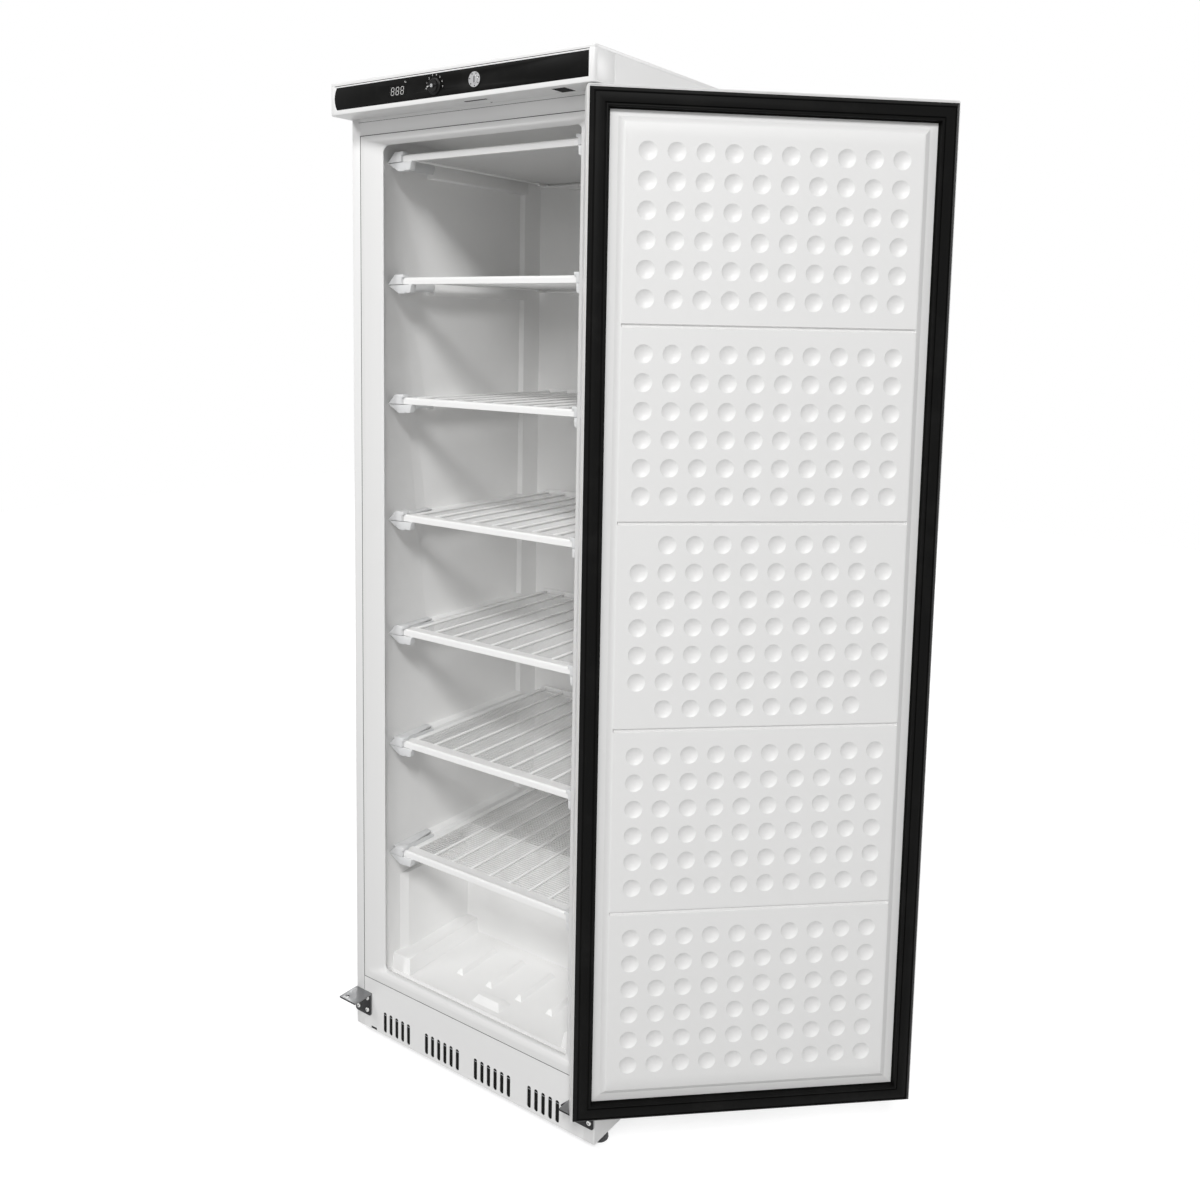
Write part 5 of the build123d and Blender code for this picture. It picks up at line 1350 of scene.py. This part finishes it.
def compressorPieces(shape):
    cx, cy = shape["centre"]
    halfX, halfY = shape["half"]
    outline = [ovalPoint(tau * step / 48, halfX, halfY) for step in range(48)]
    objectMode()
    bpy.ops.mesh.primitive_circle_add(vertices=48, radius=1, fill_type="NGON")
    shell = bpy.context.object
    firstRise, firstSpread = shape["sections"][0]
    for vertex, (x, y) in zip(shell.data.vertices, outline):
        vertex.co = (cx + x * firstSpread, cy + y * firstSpread, shape["low"] + firstRise * shape["height"])
    startEdit()
    bpy.ops.mesh.duplicate()
    bpy.ops.mesh.delete(type="ONLY_FACE")
    choose(shell, "edges", lambda middle, edge: not edge.link_faces)
    spread, rise = firstSpread, firstRise
    for nextRise, nextSpread in shape["sections"][1:]:
        scale = nextSpread / spread
        growScaled((scale, scale, 1), (cx, cy, 0), (0, 0, (nextRise - rise) * shape["height"]))
        spread, rise = nextSpread, nextRise
    bpy.ops.mesh.edge_face_add()
    endEdit(0.00005, True)
    (farX, nearY), (nearX, farY) = shape["plate"]
    ears = [(-farX, -nearY), (-nearX, -farY), (nearX, -farY), (farX, -nearY),
            (farX, nearY), (nearX, farY), (-nearX, farY), (-farX, nearY)]
    plate = plateShape([(cx + x, cy + y) for x, y in ears], shape["plateThick"], "top", shape["plateLow"], 0.0008)
    stub = tube([(cx + x, cy + y, z) for x, y, z in shape["stub"]], shape["stubRadius"], 0.01, 10)
    whole = joinAll([shell, plate, stub], "compressor")
    grommetX, grommetY = shape["grommets"]
    grommets = [turned(shape["grommet"], 24, (cx + x * grommetX, cy + y * grommetY, shape["grommetLow"]))
                for x in (-1, 1) for y in (-1, 1)]
    relay = block(*shape["relay"], 0.0035, 3)
    lid = block(*shape["relayLid"], 0.0012, 2)
    return whole, joinAll(grommets, "grommets"), joinAll([relay, lid], "relay")


compressorPiece, grommetPieces, relayPiece = compressorPieces(compressorShape)
finish(compressorPiece, "compressorShell", "cabinet", "black_paint", ["compressor"], 40)
finish(grommetPieces, "compressorFeet", "cabinet", "grommet_rubber", ["compressor_grommets"])
finish(relayPiece, "relayCover", "cabinet", "black_plastic", ["relay_box"])
print("compressor modelled")

# Edges of the CAD pieces that stay
edgeWidths = {
    "side_panel_left": 0.0006,
    "side_panel_right": 0.0006,
    "canopy_fascia": 0.0010,
    "top_cover": 0.0012,
    "control_panel": 0.0003,
    "header_rail": 0.0004,
    "lower_hinge_bracket": 0.0005,
    "spare_hinge_bracket": 0.0005,
}
for nodeName, width in edgeWidths.items():
    roundEdges(nodeName, width)
for node in frame["nodes"].values():
    if not node.hide_render:
        pickOnly(node)
        bpy.ops.object.shade_smooth_by_angle(angle=radians(35))
print("edges softened")

# Floor and light
studio = {
    "floorSize": 14.0,
    "worldStrength": 0.18,
    "worldColour": (1.0, 1.0, 0.998),
    "floorColour": (0.50, 0.50, 0.50),
    "floorGlow": (0.66, 0.90),
    "glowReach": (1.1, 3.6),
    "lamps": {
        "keyLamp": {"place": (4.2, -5.6, 6.6), "size": 1.8, "power": 450},
        "leftLamp": {"place": (-1.8, -3.2, 4.0), "size": 1.0, "power": 60},
        "fillLamp": {"place": (1.4, -7.6, 3.6), "size": 2.6, "power": 78},
        "lowLamp": {"place": (2.4, -3.8, 0.5), "size": 1.6, "power": 8},
        "rightLamp": {"place": (4.4, 5.2, 3.2), "size": 1.8, "power": 120},
        "rearLamp": {"place": (-3.6, 4.6, 3.6), "size": 2.4, "power": 110},
    },
}


def addFloor(look):
    # it glows for the rays that reach the camera, more so far away, and takes light as a grey floor
    objectMode()
    bpy.ops.mesh.primitive_plane_add(size=look["floorSize"])
    floor = bpy.context.object
    floor.name = "studioFloor"
    material = bpy.data.materials.new("studioFloorFinish")
    material.use_nodes = True
    maker = Maker(material.node_tree)
    maker.tree.nodes.clear()
    spot = maker.node("ShaderNodeTexCoord", {}, {}, "Object")
    far = maker.node("ShaderNodeVectorMath", {"operation": "LENGTH"}, {0: spot}, "Value")
    (near, away), (low, high) = look["glowReach"], look["floorGlow"]
    grow = maker.node("ShaderNodeMapRange", {}, {"Value": far, "From Min": near, "From Max": away, "To Min": low,
                                                 "To Max": high})
    strength = maker.rays("Is Camera Ray", "Is Glossy Ray") * grow
    diffuse = maker.node("ShaderNodeBsdfDiffuse", {}, {"Color": look["floorColour"]})
    glow = maker.node("ShaderNodeEmission", {}, {"Color": (1, 1, 1), "Strength": strength})
    both = maker.node("ShaderNodeAddShader", {}, {0: diffuse, 1: glow})
    maker.node("ShaderNodeOutputMaterial", {}, {"Surface": both})
    floor.data.materials.append(material)


def addWorld(look):
    # white where the camera, a shine or a clear piece sees it, dimmer as a light
    world = bpy.data.worlds.new("studioWorld")
    bpy.context.scene.world = world
    world.use_nodes = True
    maker = Maker(world.node_tree)
    maker.tree.nodes.clear()
    light = maker.node("ShaderNodeBackground", {}, {"Color": look["worldColour"], "Strength": look["worldStrength"]})
    seen = maker.node("ShaderNodeBackground", {}, {"Color": (1, 1, 1), "Strength": 1.0})
    eyes = maker.rays("Is Camera Ray", "Is Glossy Ray", "Is Transmission Ray")
    mix = maker.node("ShaderNodeMixShader", {}, {"Fac": eyes, 1: light, 2: seen})
    maker.node("ShaderNodeOutputWorld", {}, {"Surface": mix})


def addLamp(name, place, size, power, target=(0.1, 0.1, 0.9)):
    objectMode()
    bpy.ops.object.light_add(type="AREA", location=place)
    lamp = bpy.context.object
    lamp.name = name
    lamp.data.shape = "SQUARE"
    lamp.data.size = size
    lamp.data.energy = power
    lamp.rotation_euler = (Vector(target) - Vector(place)).to_track_quat("-Z", "Y").to_euler()


addFloor(studio)
addWorld(studio)
for lampName, lampShape in studio["lamps"].items():
    addLamp(lampName, **lampShape)
bpy.context.scene.view_settings.view_transform = "Standard"
print("studio lit")

objectMode()
